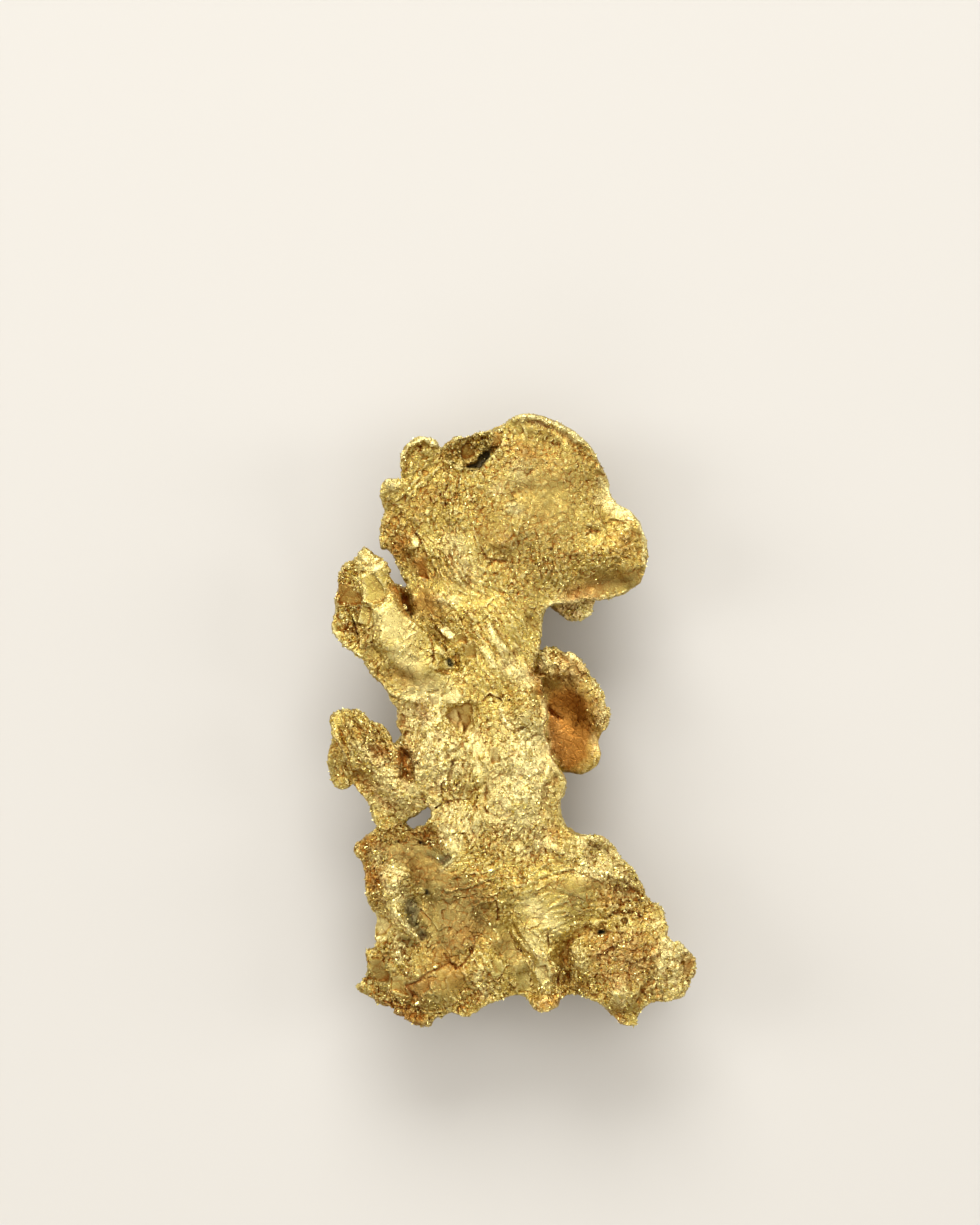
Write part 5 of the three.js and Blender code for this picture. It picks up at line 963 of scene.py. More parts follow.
class Skin:
    """The corners of a mesh as arrays, in mm, with what is worked out from them."""

    def __init__(self, mesh):
        self.mesh = mesh
        self.count = len(mesh.vertices)
        places = np.empty(3 * self.count)
        mesh.vertices.foreach_get("co", places)
        self.places = places.reshape(-1, 3)
        edges = np.empty(2 * len(mesh.edges), dtype=np.int64)
        mesh.edges.foreach_get("vertices", edges)
        self.degree = np.bincount(edges, minlength=self.count)
        self.edges = edges.reshape(-1, 2)

    def blurred(self, values, rounds):
        """Values averaged with those of the neighbours, over and over."""
        start, end = self.edges[:, 0], self.edges[:, 1]
        flat = values.reshape(self.count, -1)
        for _ in range(rounds):
            total = np.empty_like(flat)
            for i in range(flat.shape[1]):
                column = flat[:, i]
                total[:, i] = np.bincount(start, column[end], self.count)
                total[:, i] += np.bincount(end, column[start], self.count)
            flat = 0.5 * flat + 0.5 * total / self.degree[:, None]
        return flat.reshape(values.shape)

    def normals(self):
        """Outward directions at the corners as they are now."""
        self.store()
        normals = np.empty(3 * self.count)
        self.mesh.vertex_normals.foreach_get("vector", normals)
        return normals.reshape(-1, 3)

    def store(self):
        """Writes the corners back to the mesh."""
        self.mesh.vertices.foreach_set("co", self.places.ravel())
        self.mesh.update()

    def drawn(self):
        """The corners' places on the sheet that the relief is drawn on."""
        return self.places[:, 0] + DRAWN_MIDDLE[0], self.places[:, 1] + DRAWN_MIDDLE[1]

    def seen_from_above(self):
        """One where a corner lies on top, zero where something else covers it."""
        column = np.floor(self.places[:, :2] / COLUMN_SIDE).astype(np.int64)
        column -= column.min(axis=0)
        key = column[:, 1] * (column[:, 0].max() + 1) + column[:, 0]
        top = np.full(key.max() + 1, -np.inf)
        np.maximum.at(top, key, self.places[:, 2])
        low = top[key] - COVERED_DEPTH
        return fade(self.places[:, 2], low - COVERED_FADE, low)

    def add_attribute(self, name, values):
        """Keeps a number for each corner, for the materials and the scatter to read."""
        attribute = self.mesh.attributes.new(name, "FLOAT", "POINT")
        attribute.data.foreach_set("value", np.clip(values, 0, 1).astype(np.float32))


def level_out(skin, rounds):
    """Rounds off the big flat facets of the front and the back, and leaves the outline alone."""
    flat = fade(np.abs(skin.normals()[:, 2]), *RIM_TO_FACE)
    sums = skin.blurred(np.column_stack([skin.places[:, 2] * flat, flat]), rounds)
    level = sums[:, 0] / np.maximum(sums[:, 1], 1e-6)
    skin.places[:, 2] += flat * (level - skin.places[:, 2])


def wandering(skin, amount):
    """The corners' places on the drawn sheet, moved a little so that drawn lines wander."""
    x, y = skin.drawn()
    sheet = np.column_stack([x, y, np.zeros_like(x)])
    x = x + amount * (smooth_noise(sheet, 0.5, seed=11) + 0.5 * smooth_noise(sheet, 0.17, seed=18))
    y = y + amount * (smooth_noise(sheet, 0.5, seed=12) + 0.5 * smooth_noise(sheet, 0.17, seed=19))
    return x, y, sheet


def broken_edge(x, y, line, reach):
    """The points near a line, a weight that fades to zero at the line's two ends, and a step up on
    its left that dies away with distance."""
    near = near_points(x, y, line, 3 * reach)
    away, side, share = measured(x[near], y[near], line)
    ends = fade(share, 0.0, 0.2) * (1 - fade(share, 0.8, 1.0))
    step = fade(side * away, -LEDGE_WALL, LEDGE_WALL) * np.exp(-np.maximum(side * away, 0) / reach)
    return near, ends, step


def fine_ridges(x, y, sheet, bundle):
    """The height of one bundle of striations."""
    cx, cy, radius, direction, spacing, rise = bundle
    turn = math.radians(direction)
    across = (y - cy) * math.cos(turn) - (x - cx) * math.sin(turn)
    for size, shift, seed in RIDGE_BENDS:
        across = across + shift * smooth_noise(sheet, size, seed)
    mask = np.exp(-(((x - cx) ** 2 + (y - cy) ** 2) / radius**2) ** 2)
    mask *= fade(smooth_noise(sheet, 0.6, seed=15), -0.4, 0.5)
    return rise * mask * np.sin(2 * math.pi * across / spacing)


def growth_rings(x, y, sheet):
    """The height of the concentric rings on the crown's lower left."""
    from_centre = np.hypot(x - GROWTH_CENTRE[0], y - GROWTH_CENTRE[1])
    lower_left = fade(-(x - GROWTH_CENTRE[0]) - 0.5 * (y - GROWTH_CENTRE[1]), 0.6, 1.6)
    rings = fade(from_centre, *GROWTH_START) * (1 - fade(from_centre, *GROWTH_END)) * lower_left
    rings *= fade(smooth_noise(sheet, 0.5, seed=16), -0.5, 0.4)
    from_centre = from_centre + 0.08 * smooth_noise(sheet, 0.7, seed=17)
    return GROWTH_HEIGHT * rings * np.sin(2 * math.pi * from_centre / GROWTH_SPACING)


def drawn_relief(skin):
    """The height that the listed folds, ledges, cracks, lumps and striations add to the front."""
    x, y, sheet = wandering(skin, RELIEF_WANDER)
    height = np.zeros(skin.count)
    for width, rise, line in FOLDS:
        near, ridge = raised_line(x, y, line, width)
        height[near] += rise * ridge
    for width, depth, line in CRACKS:
        near, ridge = raised_line(x, y, line, width)
        height[near] -= CRACK_DEPTH * depth * ridge
    for depth, wall, _, corners in GAPS:
        near, inside = filled(x, y, corners, wall, wall)
        height[near] -= depth * inside
    for rise, reach, line in LEDGES:
        near, ends, step = broken_edge(x, y, line, reach)
        height[near] += rise * ends * step
    for cx, cy, radius, rise in LUMPS:
        near, dome = raised_line(x, y, [(cx, cy)], radius)
        height[near] += rise * dome
    for bundle in STRIATIONS:
        height += fine_ridges(x, y, sheet, bundle)
    height += growth_rings(x, y, sheet)
    return height


def press_faces(skin, on_top):
    """Presses flat crystal faces into the front and tells where they are."""
    x, y, _ = wandering(skin, FACE_WANDER)
    pressed = np.zeros(skin.count)
    for corners, what in PLACES:
        if "face" not in what:
            continue
        slope_x, slope_y, sink = what["face"]
        near = near_points(x, y, corners, FACE_REACH)
        inside = fade(depth_inside(x[near], y[near], corners), *FACE_WALL) * on_top[near]
        if inside.max(initial=0) <= 0:
            continue
        weight = inside.sum()
        mean_x = (x[near] * inside).sum() / weight
        mean_y = (y[near] * inside).sum() / weight
        level = (skin.places[near, 2] * inside).sum() / weight - sink
        flat = level + slope_x * (x[near] - mean_x) + slope_y * (y[near] - mean_y)
        skin.places[near, 2] += FACE_FLATNESS * (flat - skin.places[near, 2]) * inside
        pressed[near] = np.maximum(pressed[near], inside)
    return pressed


def lying(skin, make, size, amount, seed):
    """Noise of a kind, stretched the way that the crystals lie in each part of the front."""
    x, y = skin.drawn()
    nearest = np.full(skin.count, np.inf)
    for cx, cy, _, _ in GRAIN:
        nearest = np.minimum(nearest, (x - cx) ** 2 + (y - cy) ** 2)
    height = np.zeros(skin.count)
    power = np.zeros(skin.count)
    for cx, cy, direction, longer in GRAIN:
        weight = np.exp((nearest - (x - cx) ** 2 - (y - cy) ** 2) / GRAIN_BLEND)
        near = np.flatnonzero(weight > LEAST_WEIGHT)
        turn = math.radians(direction)
        places = skin.places[near]
        along = places[:, 0] * math.cos(turn) + places[:, 1] * math.sin(turn)
        across = places[:, 1] * math.cos(turn) - places[:, 0] * math.sin(turn)
        stretch = math.sqrt(longer)
        squeezed = np.column_stack([along / stretch, across * stretch, places[:, 2]])
        height[near] += weight[near] * make(squeezed, size, amount, seed)
        power[near] += weight[near] ** 2
    return height / np.sqrt(power)


def crumple(skin, on_top, strength):
    """Gives the smooth leaves their crumpled, crystalline relief."""
    places = skin.places.copy()
    x, y, _ = wandering(skin, TEXTURE_WANDER)
    normals = skin.normals()
    satin = painted(x, y, "satin") * on_top
    patches = GRIT_IN_PATCHES * fade(smooth_noise(places, 1.3, seed=5), 0.0, 0.6)
    grit = USUAL_GRIT + (1 - USUAL_GRIT) * painted(x, y, "grit") * on_top + patches
    grit = np.where(on_top > 0.5, np.clip(grit, 0, 1), GRIT_BEHIND)
    grit = np.clip(grit - SATIN_GRIT * satin, 0, 1)
    coarse = painted(x, y, "coarse") * on_top + LUMPS_BEHIND * (1 - on_top)
    lumpy = (USUAL_LUMPS + (1 - USUAL_LUMPS) * coarse) * (1 - SATIN_LUMPS * satin)
    grainy = (USUAL_GRAIN + (1 - USUAL_GRAIN) * grit) * (1 - SATIN_GRAIN * satin)
    height = sum(rise * smooth_noise(places, size, seed) for size, rise, seed in SWELLS)
    height += lumpy * facets(places, *LARGE_FACETS)
    height += lumpy * lying(skin, facets, *MIDDLE_FACETS)
    height += grainy * lying(skin, facets, *SMALL_FACETS)
    height += (GRAIN_HEIGHT[0] + GRAIN_HEIGHT[1] * grit) * lying(skin, grains, *ROUND_GRAINS)
    smooth_rim = painted(x, y, "smooth rim") * (1 - fade(np.abs(normals[:, 2]), 0.3, 0.8))
    height *= 1 - 0.8 * smooth_rim
    skin.places += strength * height[:, None] * normals
    return grit, satin


def hollows(skin, rounds):
    """How far each corner lies below the blurred surface round it, in mm."""
    return np.sum((skin.blurred(skin.places, rounds) - skin.places) * skin.normals(), axis=1)


def clip_to_solid(skin):
    """Keeps the skin inside the solid's own box, so that it rests where the solid rests."""
    low = np.array(CAD_LOW) / MM
    high = np.array(CAD_HIGH) / MM
    skin.places = np.clip(skin.places, low, high)


def shade_and_rust(skin, x, y):
    """How much painted shade darkens the gaps, and how rusty the cracks are, from 0 to 1."""
    gap = np.zeros(skin.count)
    for _, wall, dark, corners in GAPS:
        near, inside = filled(x, y, corners, wall, SHADE_WALL)
        gap[near] = np.maximum(gap[near], dark * inside)
    cracked = np.zeros(skin.count)
    for width, _, line in CRACKS:
        near, ridge = raised_line(x, y, line, CRACK_STAIN * width)
        cracked[near] = np.maximum(cracked[near], ridge)
    return gap, cracked


def keep_tones(skin, on_top, grit, satin):
    """Keeps what the materials and the scatter read at each corner."""
    x, y, _ = wandering(skin, TONE_WANDER)
    gap, cracked = shade_and_rust(skin, x, y)
    patchy = smooth_noise(skin.places, 1.2, seed=51)
    below = 1 - on_top
    behind = {"stain": 0.25 * below + 0.15 * patchy, "film": 0.2 * below * fade(patchy, 0.1, 0.6)}
    skin.add_attribute("gap", gap * on_top)
    skin.add_attribute("crack", cracked * on_top)
    for tone in ("rust", "stain", "film", "pale"):
        skin.add_attribute(tone, painted(x, y, tone) * on_top + behind.get(tone, 0.0))
    # Hollow depths, for the painted shade in the hollows and the painted highlight on the crests.
    for name, (rounds, shallow, deep) in HOLLOWS.items():
        skin.add_attribute(name, fade(hollows(skin, rounds), shallow, deep))
    skin.add_attribute("grit", grit)
    skin.add_attribute("satin", satin)


def gold_leaves(settings):
    """The whole piece's skin."""
    mesh = even_mesh(solid_in_millimetres(), settings.voxel, "gold_leaves")
    skin = Skin(mesh)
    skin.places = skin.blurred(skin.places, settings.softening)
    level_out(skin, settings.levelling)
    on_top = skin.seen_from_above()
    skin.places[:, 2] += settings.relief * on_top * drawn_relief(skin)
    grit, satin = crumple(skin, on_top, settings.relief)
    pressed = press_faces(skin, on_top)
    clip_to_solid(skin)
    keep_tones(skin, on_top, grit * (1 - SATIN_GRIT * pressed), np.maximum(satin, pressed))
    skin.places *= MM
    skin.store()
    obj = in_scene("gold_leaves", mesh)
    bpy.context.view_layer.update()
    obj.data = thinned(obj, settings.triangles, on_top)
    obj.data.name = "gold_leaves"
    obj.data.polygons.foreach_set("use_smooth", [True] * len(obj.data.polygons))
    obj.data.set_sharp_from_angle(angle=SHARP_ANGLE)
    return obj


# ---------------------------------------------------------------- materials

# Kinds of node that come up often, and their settings. These sums stay between 0 and 1.
MATH = "ShaderNodeMath"
VECTOR = "ShaderNodeVectorMath"
RANGE = "ShaderNodeMapRange"
NOISE = "ShaderNodeTexNoise"
CELLS = "ShaderNodeTexVoronoi"
MIX = "ShaderNodeMix"
ADD = {"operation": "ADD", "use_clamp": True}
SUBTRACT = {"operation": "SUBTRACT", "use_clamp": True}
MULTIPLY = {"operation": "MULTIPLY", "use_clamp": True}
MULTIPLY_ADD = {"operation": "MULTIPLY_ADD", "use_clamp": True}
SMOOTH = {"interpolation_type": "SMOOTHSTEP"}
TO_BORDER = {"feature": "DISTANCE_TO_EDGE"}
COLOURS = {"data_type": "RGBA"}

# What the skin keeps at each corner for the metal to read.
TONES = ("gap", "crack", "rust", "stain", "film", "pale", "fine_hollow", "wide_hollow", "grit", "satin")


def new_material(name):
    """A material without nodes, and what adds nodes to it."""
    material = bpy.data.materials.new(name)
    material.use_nodes = True
    material.node_tree.nodes.clear()
    return material, partial(add_node, material.node_tree)


def place_in_mm(add):
    """Where a point of the piece lies, in mm."""
    place = add("ShaderNodeTexCoord", out="Object")
    return add("ShaderNodeMapping", None, {"Vector": place, "Scale": (1 / MM,) * 3})


def bare_metal(add, inputs):
    """Ends a material with a metal of a given colour and gloss."""
    shader = add("ShaderNodeBsdfPrincipled", None, {"Metallic": 1.0, **inputs})
    add("ShaderNodeOutputMaterial", None, {"Surface": shader})


def gold_patterns(add):
    """Grains 0.08 mm across with bent seams, larger plates, thin crevices between groups of grains
    0.3 mm across, and patches, flecks and fine noise."""
    in_mm = place_in_mm(add)
    bend = add(NOISE, None, {"Vector": in_mm, "Scale": 4.0, "Detail": 2.0, "Roughness": 0.5}, "Color")
    bent = add(VECTOR, {"operation": "MULTIPLY_ADD"}, (bend, (0.12,) * 3, in_mm))
    patches = add(NOISE, None, {"Vector": in_mm, "Scale": 1.4, "Detail": 5.0, "Roughness": 0.65})
    flecks = add(NOISE, None, {"Vector": in_mm, "Scale": 3.6, "Detail": 3.0, "Roughness": 0.6})
    border = add(CELLS, TO_BORDER, {"Vector": bent, "Scale": CREVICE_CELLS})
    crevice = add(MATH, SUBTRACT, (1.0, add(RANGE, SMOOTH, (border, 0.0, 0.12))))
    return {
        "seam": add(CELLS, TO_BORDER, {"Vector": bent, "Scale": GRAIN_CELLS}),
        "grains": add(CELLS, None, {"Vector": bent, "Scale": GRAIN_CELLS}, "Color"),
        "plates": add(CELLS, None, {"Vector": bent, "Scale": PLATE_CELLS}, "Color"),
        "patches": patches,
        "crevice": add(MATH, MULTIPLY, (crevice, add(RANGE, SMOOTH, (patches, 0.35, 0.6)))),
        "fine": add(NOISE, None, {"Vector": in_mm, "Scale": 14.0, "Detail": 3.0, "Roughness": 0.7}),
        "flecks": add(RANGE, SMOOTH, (flecks, 0.48, 0.66)),
    }


def oxide_and_hollow_shade(add, tone, pattern):
    """Iron oxide lies in the seams and the crevices, and the hollows get the same colour as painted
    shade. All of it is less where the gold is pale.
    """
    # Painted shade: the deeper a hollow, the more of the dark oxide colour it gets.
    fine = add(RANGE, SMOOTH, (tone["fine_hollow"], 0.35, 0.9))
    wide = add(MATH, MULTIPLY, (tone["wide_hollow"], 0.25))
    low = add(MATH, ADD, (add(MATH, MULTIPLY, (fine, 0.8)), wide))
    seam = add(MATH, SUBTRACT, (1.0, add(RANGE, SMOOTH, (pattern["seam"], 0.0, 0.16))))
    seam = add(MATH, MULTIPLY, (seam, add(MATH, MULTIPLY_ADD, (tone["grit"], 0.25, 0.25))))
    gritty = add(MATH, MULTIPLY_ADD, (tone["grit"], 0.3, 0.4))
    oxide = add(MATH, ADD, (seam, add(MATH, MULTIPLY, (pattern["crevice"], gritty))))
    oxide = add(MATH, ADD, (oxide, add(MATH, MULTIPLY, (low, 0.6))))
    return add(MATH, MULTIPLY, (oxide, add(MATH, MULTIPLY_ADD, (tone["pale"], -0.35, 1.0))))


def gold_colour(add, tone, pattern, stain, film, settings):
    """Clean gold under its stain, its bright crests (partly a painted highlight), its film, its rust, the
    oxide and painted shade of its hollows, its rusty cracks and the painted shade of its deep gaps.
    """
    # Random patches and the pale tone, which is partly a painted highlight, turn to the worn gold colour.
    clean = add(MATH, ADD, (tone["pale"], add(MATH, MULTIPLY_ADD, (pattern["fine"], 1.2, -0.5))))
    # Painted highlight, partly wear: convex crests and the pale tone turn to the crest colour, less under
    # stain.
    crest = add(MATH, SUBTRACT, (1.0, add(RANGE, SMOOTH, (tone["fine_hollow"], 0.05, 0.35))))
    crest = add(MATH, MULTIPLY, (crest, add(MATH, MULTIPLY_ADD, (stain, -0.6, 0.6))))
    crest = add(MATH, ADD, (crest, add(MATH, MULTIPLY, (tone["pale"], 0.6))))
    colour = linear(settings.body)
    for amount, shade in (
        (clean, settings.bright),
        (stain, settings.stain),
        (crest, settings.crest_sheen),
        (film, settings.film),
        (add(MATH, MULTIPLY, (tone["rust"], 0.9)), settings.rust),
        (oxide_and_hollow_shade(add, tone, pattern), settings.seam),
        (add(MATH, MULTIPLY, (tone["crack"], 0.85)), settings.crack),
        (tone["gap"], settings.gap),
    ):
        colour = add(MIX, COLOURS, {0: amount, 6: colour, 7: linear(shade)}, 2)
    return colour


def gold_roughness(add, pattern, stain, film):
    """Each grain has a gloss of its own; film and stain dull it."""
    gloss = add("ShaderNodeSeparateColor", None, (pattern["grains"],), 2)
    gloss = add(RANGE, SMOOTH, (gloss, 0.0, 0.5))
    rough = add(MATH, MULTIPLY_ADD, (gloss, ROUGHNESS_RANGE, LEAST_ROUGHNESS))
    for dull in (film, stain):
        rough = add(MATH, ADD, (rough, add(MATH, MULTIPLY, (dull, DULLING))))
    return rough


def gold_normal(add, tone, pattern):
    """Fine domed grains. Each grain and each plate leans its own way, so that some of them glint."""
    grit, pale, satin = tone["grit"], tone["pale"], tone["satin"]
    dome = add(RANGE, SMOOTH, (pattern["seam"], 0.0, 0.3))
    height = add(MATH, MULTIPLY, (dome, add(MATH, MULTIPLY_ADD, (grit, 0.6, 0.25))))
    height = add(MATH, MULTIPLY, (height, 0.6))
    height = add(MATH, ADD, (height, add(MATH, MULTIPLY, (pattern["fine"], 0.4))))
    height = add(MATH, SUBTRACT, (height, add(MATH, MULTIPLY, (pattern["crevice"], 0.5))))
    bump = {"Strength": 0.8, "Distance": GRAIN_DOME * MM, "Height": height}
    lean = add(MATH, MULTIPLY_ADD, (grit, 0.5, 0.2))
    lean = add(MATH, SUBTRACT, (lean, add(MATH, MULTIPLY, (satin, 0.18))))
    lean = add(MATH, SUBTRACT, (lean, add(MATH, MULTIPLY, (pale, 0.12))))
    plate_lean = add(MATH, MULTIPLY_ADD, (pale, 0.4, 0.14))
    plate_lean = add(MATH, SUBTRACT, (plate_lean, add(MATH, MULTIPLY, (satin, 0.1))))
    tilts = []
    for cells, amount in ((pattern["grains"], lean), (pattern["plates"], plate_lean)):
        way = add(VECTOR, {"operation": "SUBTRACT"}, (cells, (0.5, 0.5, 0.5)))
        tilts.append(add(VECTOR, {"operation": "SCALE"}, {0: way, "Scale": amount}))
    tilt = add(VECTOR, {"operation": "ADD"}, tilts)
    tilted = add(VECTOR, {"operation": "ADD"}, (add("ShaderNodeBump", None, bump), tilt))
    return add(VECTOR, {"operation": "NORMALIZE"}, (tilted,))


def native_gold(settings):
    """Native gold grown as crystals: bare metal, so all its colour is in its reflections. Its crests are
    paler and brighter, partly worn gold and partly a painted highlight. Iron stain and a thin film darken
    and dull the hollows, and the hollows also get painted shade."""
    material, add = new_material("Native gold, crystalline")
    tone = {name: add("ShaderNodeAttribute", {"attribute_name": name}, out="Fac") for name in TONES}
    pattern = gold_patterns(add)
    patchy = add(MATH, ADD, (pattern["patches"], 0.35))
    film = add(MATH, MULTIPLY, (tone["film"], patchy))
    stain = add(MATH, MULTIPLY, (tone["stain"], patchy))
    stain = add(MATH, ADD, (stain, add(MATH, MULTIPLY, (pattern["flecks"], 0.12))))
    gold = {
        "Base Color": gold_colour(add, tone, pattern, stain, film, settings),
        "Roughness": gold_roughness(add, pattern, stain, film),
        "Normal": gold_normal(add, tone, pattern),
    }
    bare_metal(add, gold)
    return material


def crystal_gold(settings):
    """The same native gold on loose crystals: flat faces, brighter and smoother, their colour wandering
    between the gold and the crest colour that partly paints highlights.
    """
    material, add = new_material("Native gold, loose crystals")
    place = place_in_mm(add)
    tone = add(NOISE, None, {"Vector": place, "Scale": 4.0, "Detail": 2.0, "Roughness": 0.5})
    colour = add(MIX, COLOURS, {0: tone, 6: linear(settings.body), 7: linear(settings.crest_sheen)}, 2)
    bare_metal(add, {"Base Color": colour, "Roughness": CRYSTAL_ROUGHNESS})
    return material


# ---------------------------------------------------------------- the small crystals

RANDOM = "FunctionNodeRandomValue"
KEPT = "GeometryNodeInputNamedAttribute"
BALL = "GeometryNodeMeshUVSphere"
NUMBERS = {"data_type": "FLOAT"}
VECTORS = {"data_type": "FLOAT_VECTOR"}
TIMES = {"operation": "MULTIPLY"}
SCALE = {"operation": "SCALE"}


def new_group(name, inputs, result):
    """A new Geometry Nodes group with named inputs, what adds nodes to it, and what its inputs give."""
    tree = bpy.data.node_groups.new(name, "GeometryNodeTree")
    for label, kind in inputs.items():
        tree.interface.new_socket(label, in_out="INPUT", socket_type="NodeSocket" + kind)
    tree.interface.new_socket(result, in_out="OUTPUT", socket_type="NodeSocketGeometry")
    return tree, partial(add_node, tree), tree.nodes.new("NodeGroupInput").outputs


def real_copies(add, copies, material):
    """Ends a group: puts a real copy of a shape on each point and gives it its material."""
    placed = add("GeometryNodeInstanceOnPoints", None, copies)
    real = add("GeometryNodeRealizeInstances", None, (placed,))
    done = add("GeometryNodeSetMaterial", None, {"Geometry": real, "Material": material})
    add("NodeGroupOutput", None, (done,))


def crystal_tree(material):
    """Scatters small octahedral crystals over a surface, thickest where it is gritty."""
    inputs = {"Surface": "Geometry", "Size": "Float", "Density": "Float", "Seed": "Int"}
    tree, add, given = new_group("Small gold crystals", inputs, "Crystals")
    seed = given["Seed"]
    thick = add(MATH, TIMES, (add(KEPT, NUMBERS, {"Name": "grit"}), given["Density"]))
    clumps = add(NOISE, None, {"Scale": CLUMP_CELLS / MM, "Detail": 2.0})
    thick = add(MATH, TIMES, (thick, add(RANGE, None, (clumps, 0.46, 0.62))))
    scatter = {"Mesh": given["Surface"], "Density": thick, "Seed": seed}
    size = add(RANDOM, VECTORS, {0: SMALLEST_CRYSTAL, 1: LARGEST_CRYSTAL, "Seed": seed})
    copies = {
        "Points": add("GeometryNodeDistributePointsOnFaces", {"distribute_method": "RANDOM"}, scatter),
        "Instance": add(BALL, None, {"Segments": 4, "Rings": 2, "Radius": 0.5}),
        "Rotation": add(RANDOM, VECTORS, {0: (0.0, 0.0, 0.0), 1: (math.tau,) * 3, "Seed": seed}),
        "Scale": add(VECTOR, SCALE, {0: size, "Scale": given["Size"]}),
    }
    real_copies(add, copies, material)
    return tree


def chip_tree(material):
    """Puts a flat broken crystal on each given point, turned and stretched as the point says."""
    inputs = {"Points": "Geometry", "Width": "Float", "Thickness": "Float"}
    tree, add, given = new_group("Broken gold crystals", inputs, "Chips")
    shape = add("ShaderNodeCombineXYZ", None, (1.0, given["Width"], given["Thickness"]))
    copies = {
        "Points": given["Points"],
        "Instance": add(BALL, None, {"Segments": 5, "Rings": 3, "Radius": 0.5}),
        "Rotation": add(KEPT, VECTORS, {"Name": "turn"}),
        "Scale": add(VECTOR, SCALE, {0: shape, "Scale": add(KEPT, NUMBERS, {"Name": "length"})}),
    }
    real_copies(add, copies, material)
    return tree


def grown(name, mesh, tree, inputs):
    """What a Geometry Nodes group with given inputs makes of a mesh, as one plain piece."""
    source = in_scene(name + "_source", mesh)
    modifier = source.modifiers.new(tree.name, "NODES")
    modifier.node_group = tree
    for item in tree.interface.items_tree:
        if item.item_type == "SOCKET" and item.in_out == "INPUT" and item.name in inputs:
            modifier[item.identifier] = inputs[item.name]
    return in_scene(name, as_plain_mesh(source, name))


def gold_chips(leaves, settings, material):
    """The bright broken crystals that catch the light, as one plain mesh."""
    places = []
    turns = []
    lengths = []
    for i, (x, y, length, direction) in enumerate(CHIPS):
        start = Vector(((x - DRAWN_MIDDLE[0]) * MM, (y - DRAWN_MIDDLE[1]) * MM, 2 * CAD_HIGH[2]))
        hit, place, _, _ = leaves.ray_cast(start, Vector((0, 0, -1)))
        if hit:
            random = hashed(np.array([[i, 0, 0]]), settings.seed)[0]
            lean_x, lean_y, _ = settings.chip_lean * (random - 0.5)
            places.append(place)
            turns.extend((lean_x, lean_y, math.radians(direction)))
            lengths.append(length * MM)
    mesh = bpy.data.meshes.new("chip_points")
    mesh.from_pydata(places, [], [])
    mesh.attributes.new("turn", "FLOAT_VECTOR", "POINT").data.foreach_set("vector", turns)
    mesh.attributes.new("length", "FLOAT", "POINT").data.foreach_set("value", lengths)
    inputs = {"Width": settings.chip_width, "Thickness": settings.chip_thickness}
    return grown("gold_chips", mesh, chip_tree(material), inputs)


def gold_crystals(leaves, settings, material):
    """The loose crystals, as one plain mesh."""
    inputs = {"Size": settings.size, "Density": settings.density / MM**2, "Seed": settings.seed}
    return grown("gold_crystals", leaves.data.copy(), crystal_tree(material), inputs)


# ---------------------------------------------------------------- the stage

TABLE_SIDE = 1.2  # m
PICTURE = (980, 1225)  # pixels
PICTURE_SCALE = 25.0  # pixels to the millimetre at the piece
PIECE_MIDDLE_PX = (511.5, 719.5)
CAMERA_LEVEL = 0.8  # of the piece's height, where the picture's scale holds
SENSOR_WIDTH = 36.0  # mm
SEEN_FROM, SEEN_TO = 0.01, 5.0  # m in front of the camera

# Softboxes that face the piece: (name, place, width and height in m, power in W).
LIGHTS = [
    ("Overhead panel", (0, 0.02, 0.5), 0.85, 0.8, 1.95),
    ("Top softbox", (-0.02, 0.42, 0.3), 0.42, 0.26, 2.6),
    ("Left softbox", (-0.4, 0.06, 0.25), 0.16, 0.24, 0.75),
    ("Right softbox", (0.42, 0.02, 0.2), 0.14, 0.24, 0.6),
    ("Near softbox", (-0.15, -0.42, 0.28), 0.4, 0.16, 0.25),
]
ROOM_COLOUR = "#D8C8AE"
ROOM_STRENGTH = 0.34


def plain_matt(name, colour, roughness):
    """A plain matt surface, like a painted board."""
    material = bpy.data.materials.new(name)
    material.use_nodes = True
    shader = material.node_tree.nodes["Principled BSDF"]
    shader.inputs["Base Color"].default_value = linear(colour)
    shader.inputs["Roughness"].default_value = roughness
    return material


def table_top(settings):
    """A plain pale board under the piece."""
    half = TABLE_SIDE / 2
    corners = [(-half, -half, 0), (half, -half, 0), (half, half, 0), (-half, half, 0)]
    mesh = bpy.data.meshes.new("table_top")
    mesh.from_pydata(corners, [], [(0, 1, 2, 3)])
    mesh.materials.append(plain_matt("Painted board, matt", settings.table, 0.7))
    return in_scene("table_top", mesh)


def soft_light(name, place, width, height, power):
    """A rectangular softbox that faces the piece."""
    light = bpy.data.lights.new(name, "AREA")
    light.shape = "RECTANGLE"
    light.size, light.size_y = width, height
    light.energy = power
    obj = in_scene(name, light)
    obj.location = place
    obj.rotation_euler = (Vector((0, 0, 0)) - Vector(place)).to_track_quat("-Z", "Y").to_euler()


def overhead_camera(settings):
    """A camera that looks straight down, with the top of the piece at the top of the picture."""
    offset_x = (PICTURE[0] / 2 - PIECE_MIDDLE_PX[0]) / PICTURE_SCALE
    offset_y = (PIECE_MIDDLE_PX[1] - PICTURE[1] / 2) / PICTURE_SCALE
    data = bpy.data.cameras.new("overhead")
    data.lens = settings.lens
    data.sensor_width = SENSOR_WIDTH
    data.clip_start, data.clip_end = SEEN_FROM, SEEN_TO
    distance = settings.shown_height * data.lens / data.sensor_width
    obj = in_scene("overhead", data)
    obj.location = (
        (offset_x - DRAWN_MIDDLE[0]) * MM,
        (offset_y - DRAWN_MIDDLE[1]) * MM,
        CAMERA_LEVEL * CAD_HIGH[2] + distance,
    )
    bpy.context.scene.camera = obj


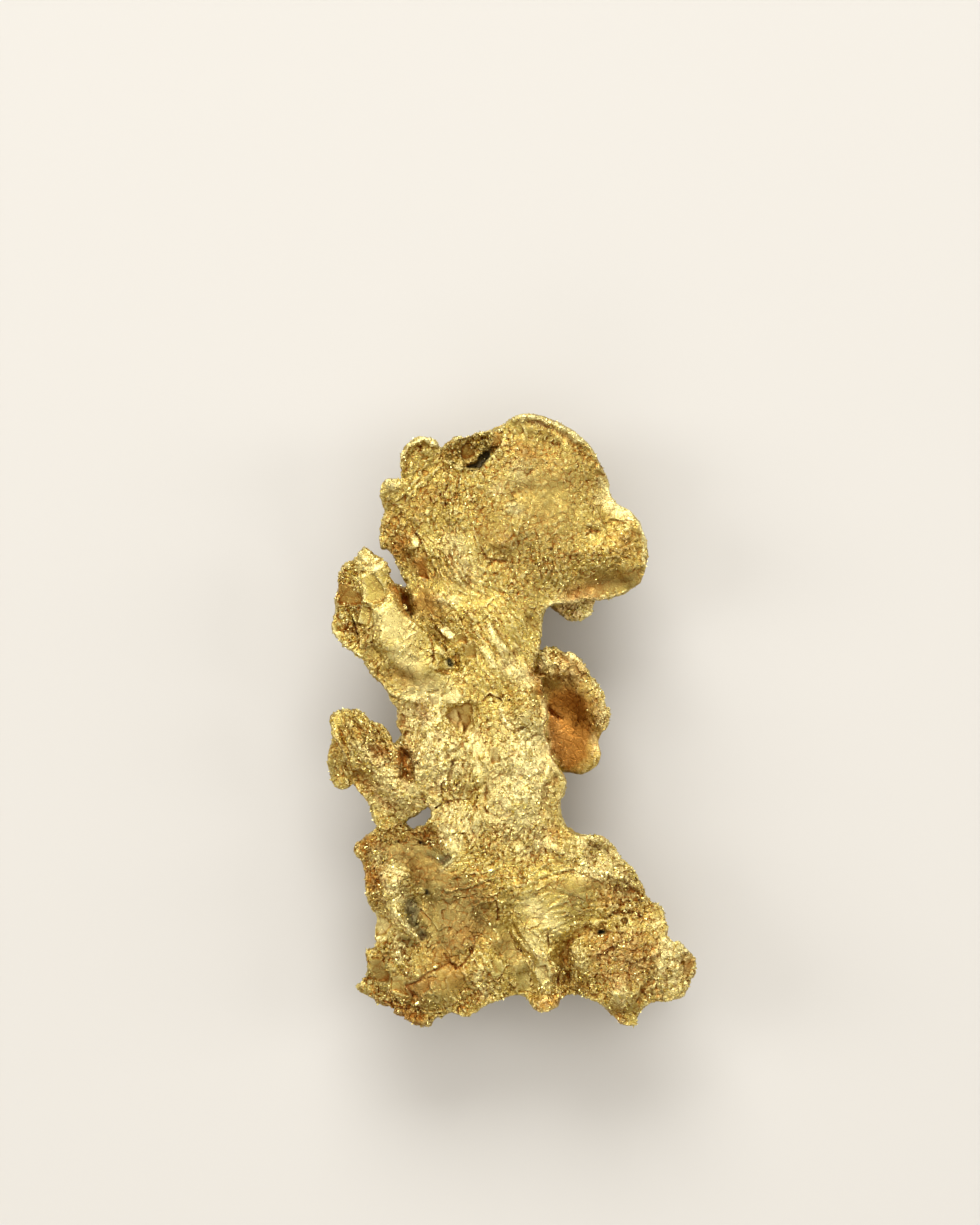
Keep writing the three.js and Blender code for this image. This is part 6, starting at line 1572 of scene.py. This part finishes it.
def room_light(colour, strength):
    """Even light from all round."""
    world = bpy.data.worlds.new("Studio")
    world.use_nodes = True
    background = world.node_tree.nodes["Background"]
    background.inputs["Color"].default_value = linear(colour)
    background.inputs["Strength"].default_value = strength
    bpy.context.scene.world = world


# ---------------------------------------------------------------- operators and panel


class LEAFGOLD_OT_leaves(bpy.types.Operator):
    """Build the skin of the grown leaves"""

    bl_idname = "leafgold.leaves"
    bl_label = "Gold leaves"

    def execute(self, context):
        settings = context.scene.leafgold_skin
        leaves = gold_leaves(settings)
        leaves.data.materials.clear()
        leaves.data.materials.append(native_gold(settings))
        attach(leaves, "root")
        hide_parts(NODE)
        return {"FINISHED"}


class LEAFGOLD_OT_crystals(bpy.types.Operator):
    """Scatter the small loose crystals over the skin"""

    bl_idname = "leafgold.crystals"
    bl_label = "Small crystals"

    def execute(self, context):
        scene = context.scene
        leaves = bpy.data.objects["gold_leaves"]
        material = crystal_gold(scene.leafgold_skin)
        crystals = gold_crystals(leaves, scene.leafgold_crystals, material)
        chips = gold_chips(leaves, scene.leafgold_crystals, material)
        for piece in (crystals, chips):
            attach(piece, "root")
        return {"FINISHED"}


class LEAFGOLD_OT_stage(bpy.types.Operator):
    """Build the table, the lights and the camera"""

    bl_idname = "leafgold.stage"
    bl_label = "Stage"

    def execute(self, context):
        settings = context.scene.leafgold_stage
        table_top(settings)
        for light in LIGHTS:
            soft_light(*light)
        room_light(ROOM_COLOUR, ROOM_STRENGTH)
        overhead_camera(settings)
        context.scene.view_settings.view_transform = "Standard"
        return {"FINISHED"}


class LEAFGOLD_PT_panel(bpy.types.Panel):
    """Leaf gold tools"""

    bl_idname = "LEAFGOLD_PT_panel"
    bl_label = "Leaf gold"
    bl_space_type = "VIEW_3D"
    bl_region_type = "UI"
    bl_category = "Leaf gold"

    def draw(self, context):
        scene = context.scene
        for operator, settings in (
            (LEAFGOLD_OT_leaves, scene.leafgold_skin),
            (LEAFGOLD_OT_crystals, scene.leafgold_crystals),
            (LEAFGOLD_OT_stage, scene.leafgold_stage),
        ):
            box = self.layout.box()
            box.operator(operator.bl_idname)
            for name in settings.__annotations__:
                box.prop(settings, name)


CLASSES = (
    SkinSettings,
    CrystalSettings,
    StageSettings,
    LEAFGOLD_OT_leaves,
    LEAFGOLD_OT_crystals,
    LEAFGOLD_OT_stage,
    LEAFGOLD_PT_panel,
)


def register():
    for item in CLASSES:
        bpy.utils.register_class(item)
    bpy.types.Scene.leafgold_skin = bpy.props.PointerProperty(type=SkinSettings)
    bpy.types.Scene.leafgold_crystals = bpy.props.PointerProperty(type=CrystalSettings)
    bpy.types.Scene.leafgold_stage = bpy.props.PointerProperty(type=StageSettings)


def unregister():
    del bpy.types.Scene.leafgold_stage
    del bpy.types.Scene.leafgold_crystals
    del bpy.types.Scene.leafgold_skin
    for item in reversed(CLASSES):
        bpy.utils.unregister_class(item)


def main():
    register()
    bpy.ops.leafgold.leaves()
    bpy.ops.leafgold.crystals()
    bpy.ops.leafgold.stage()


if __name__ == "__main__":
    main()
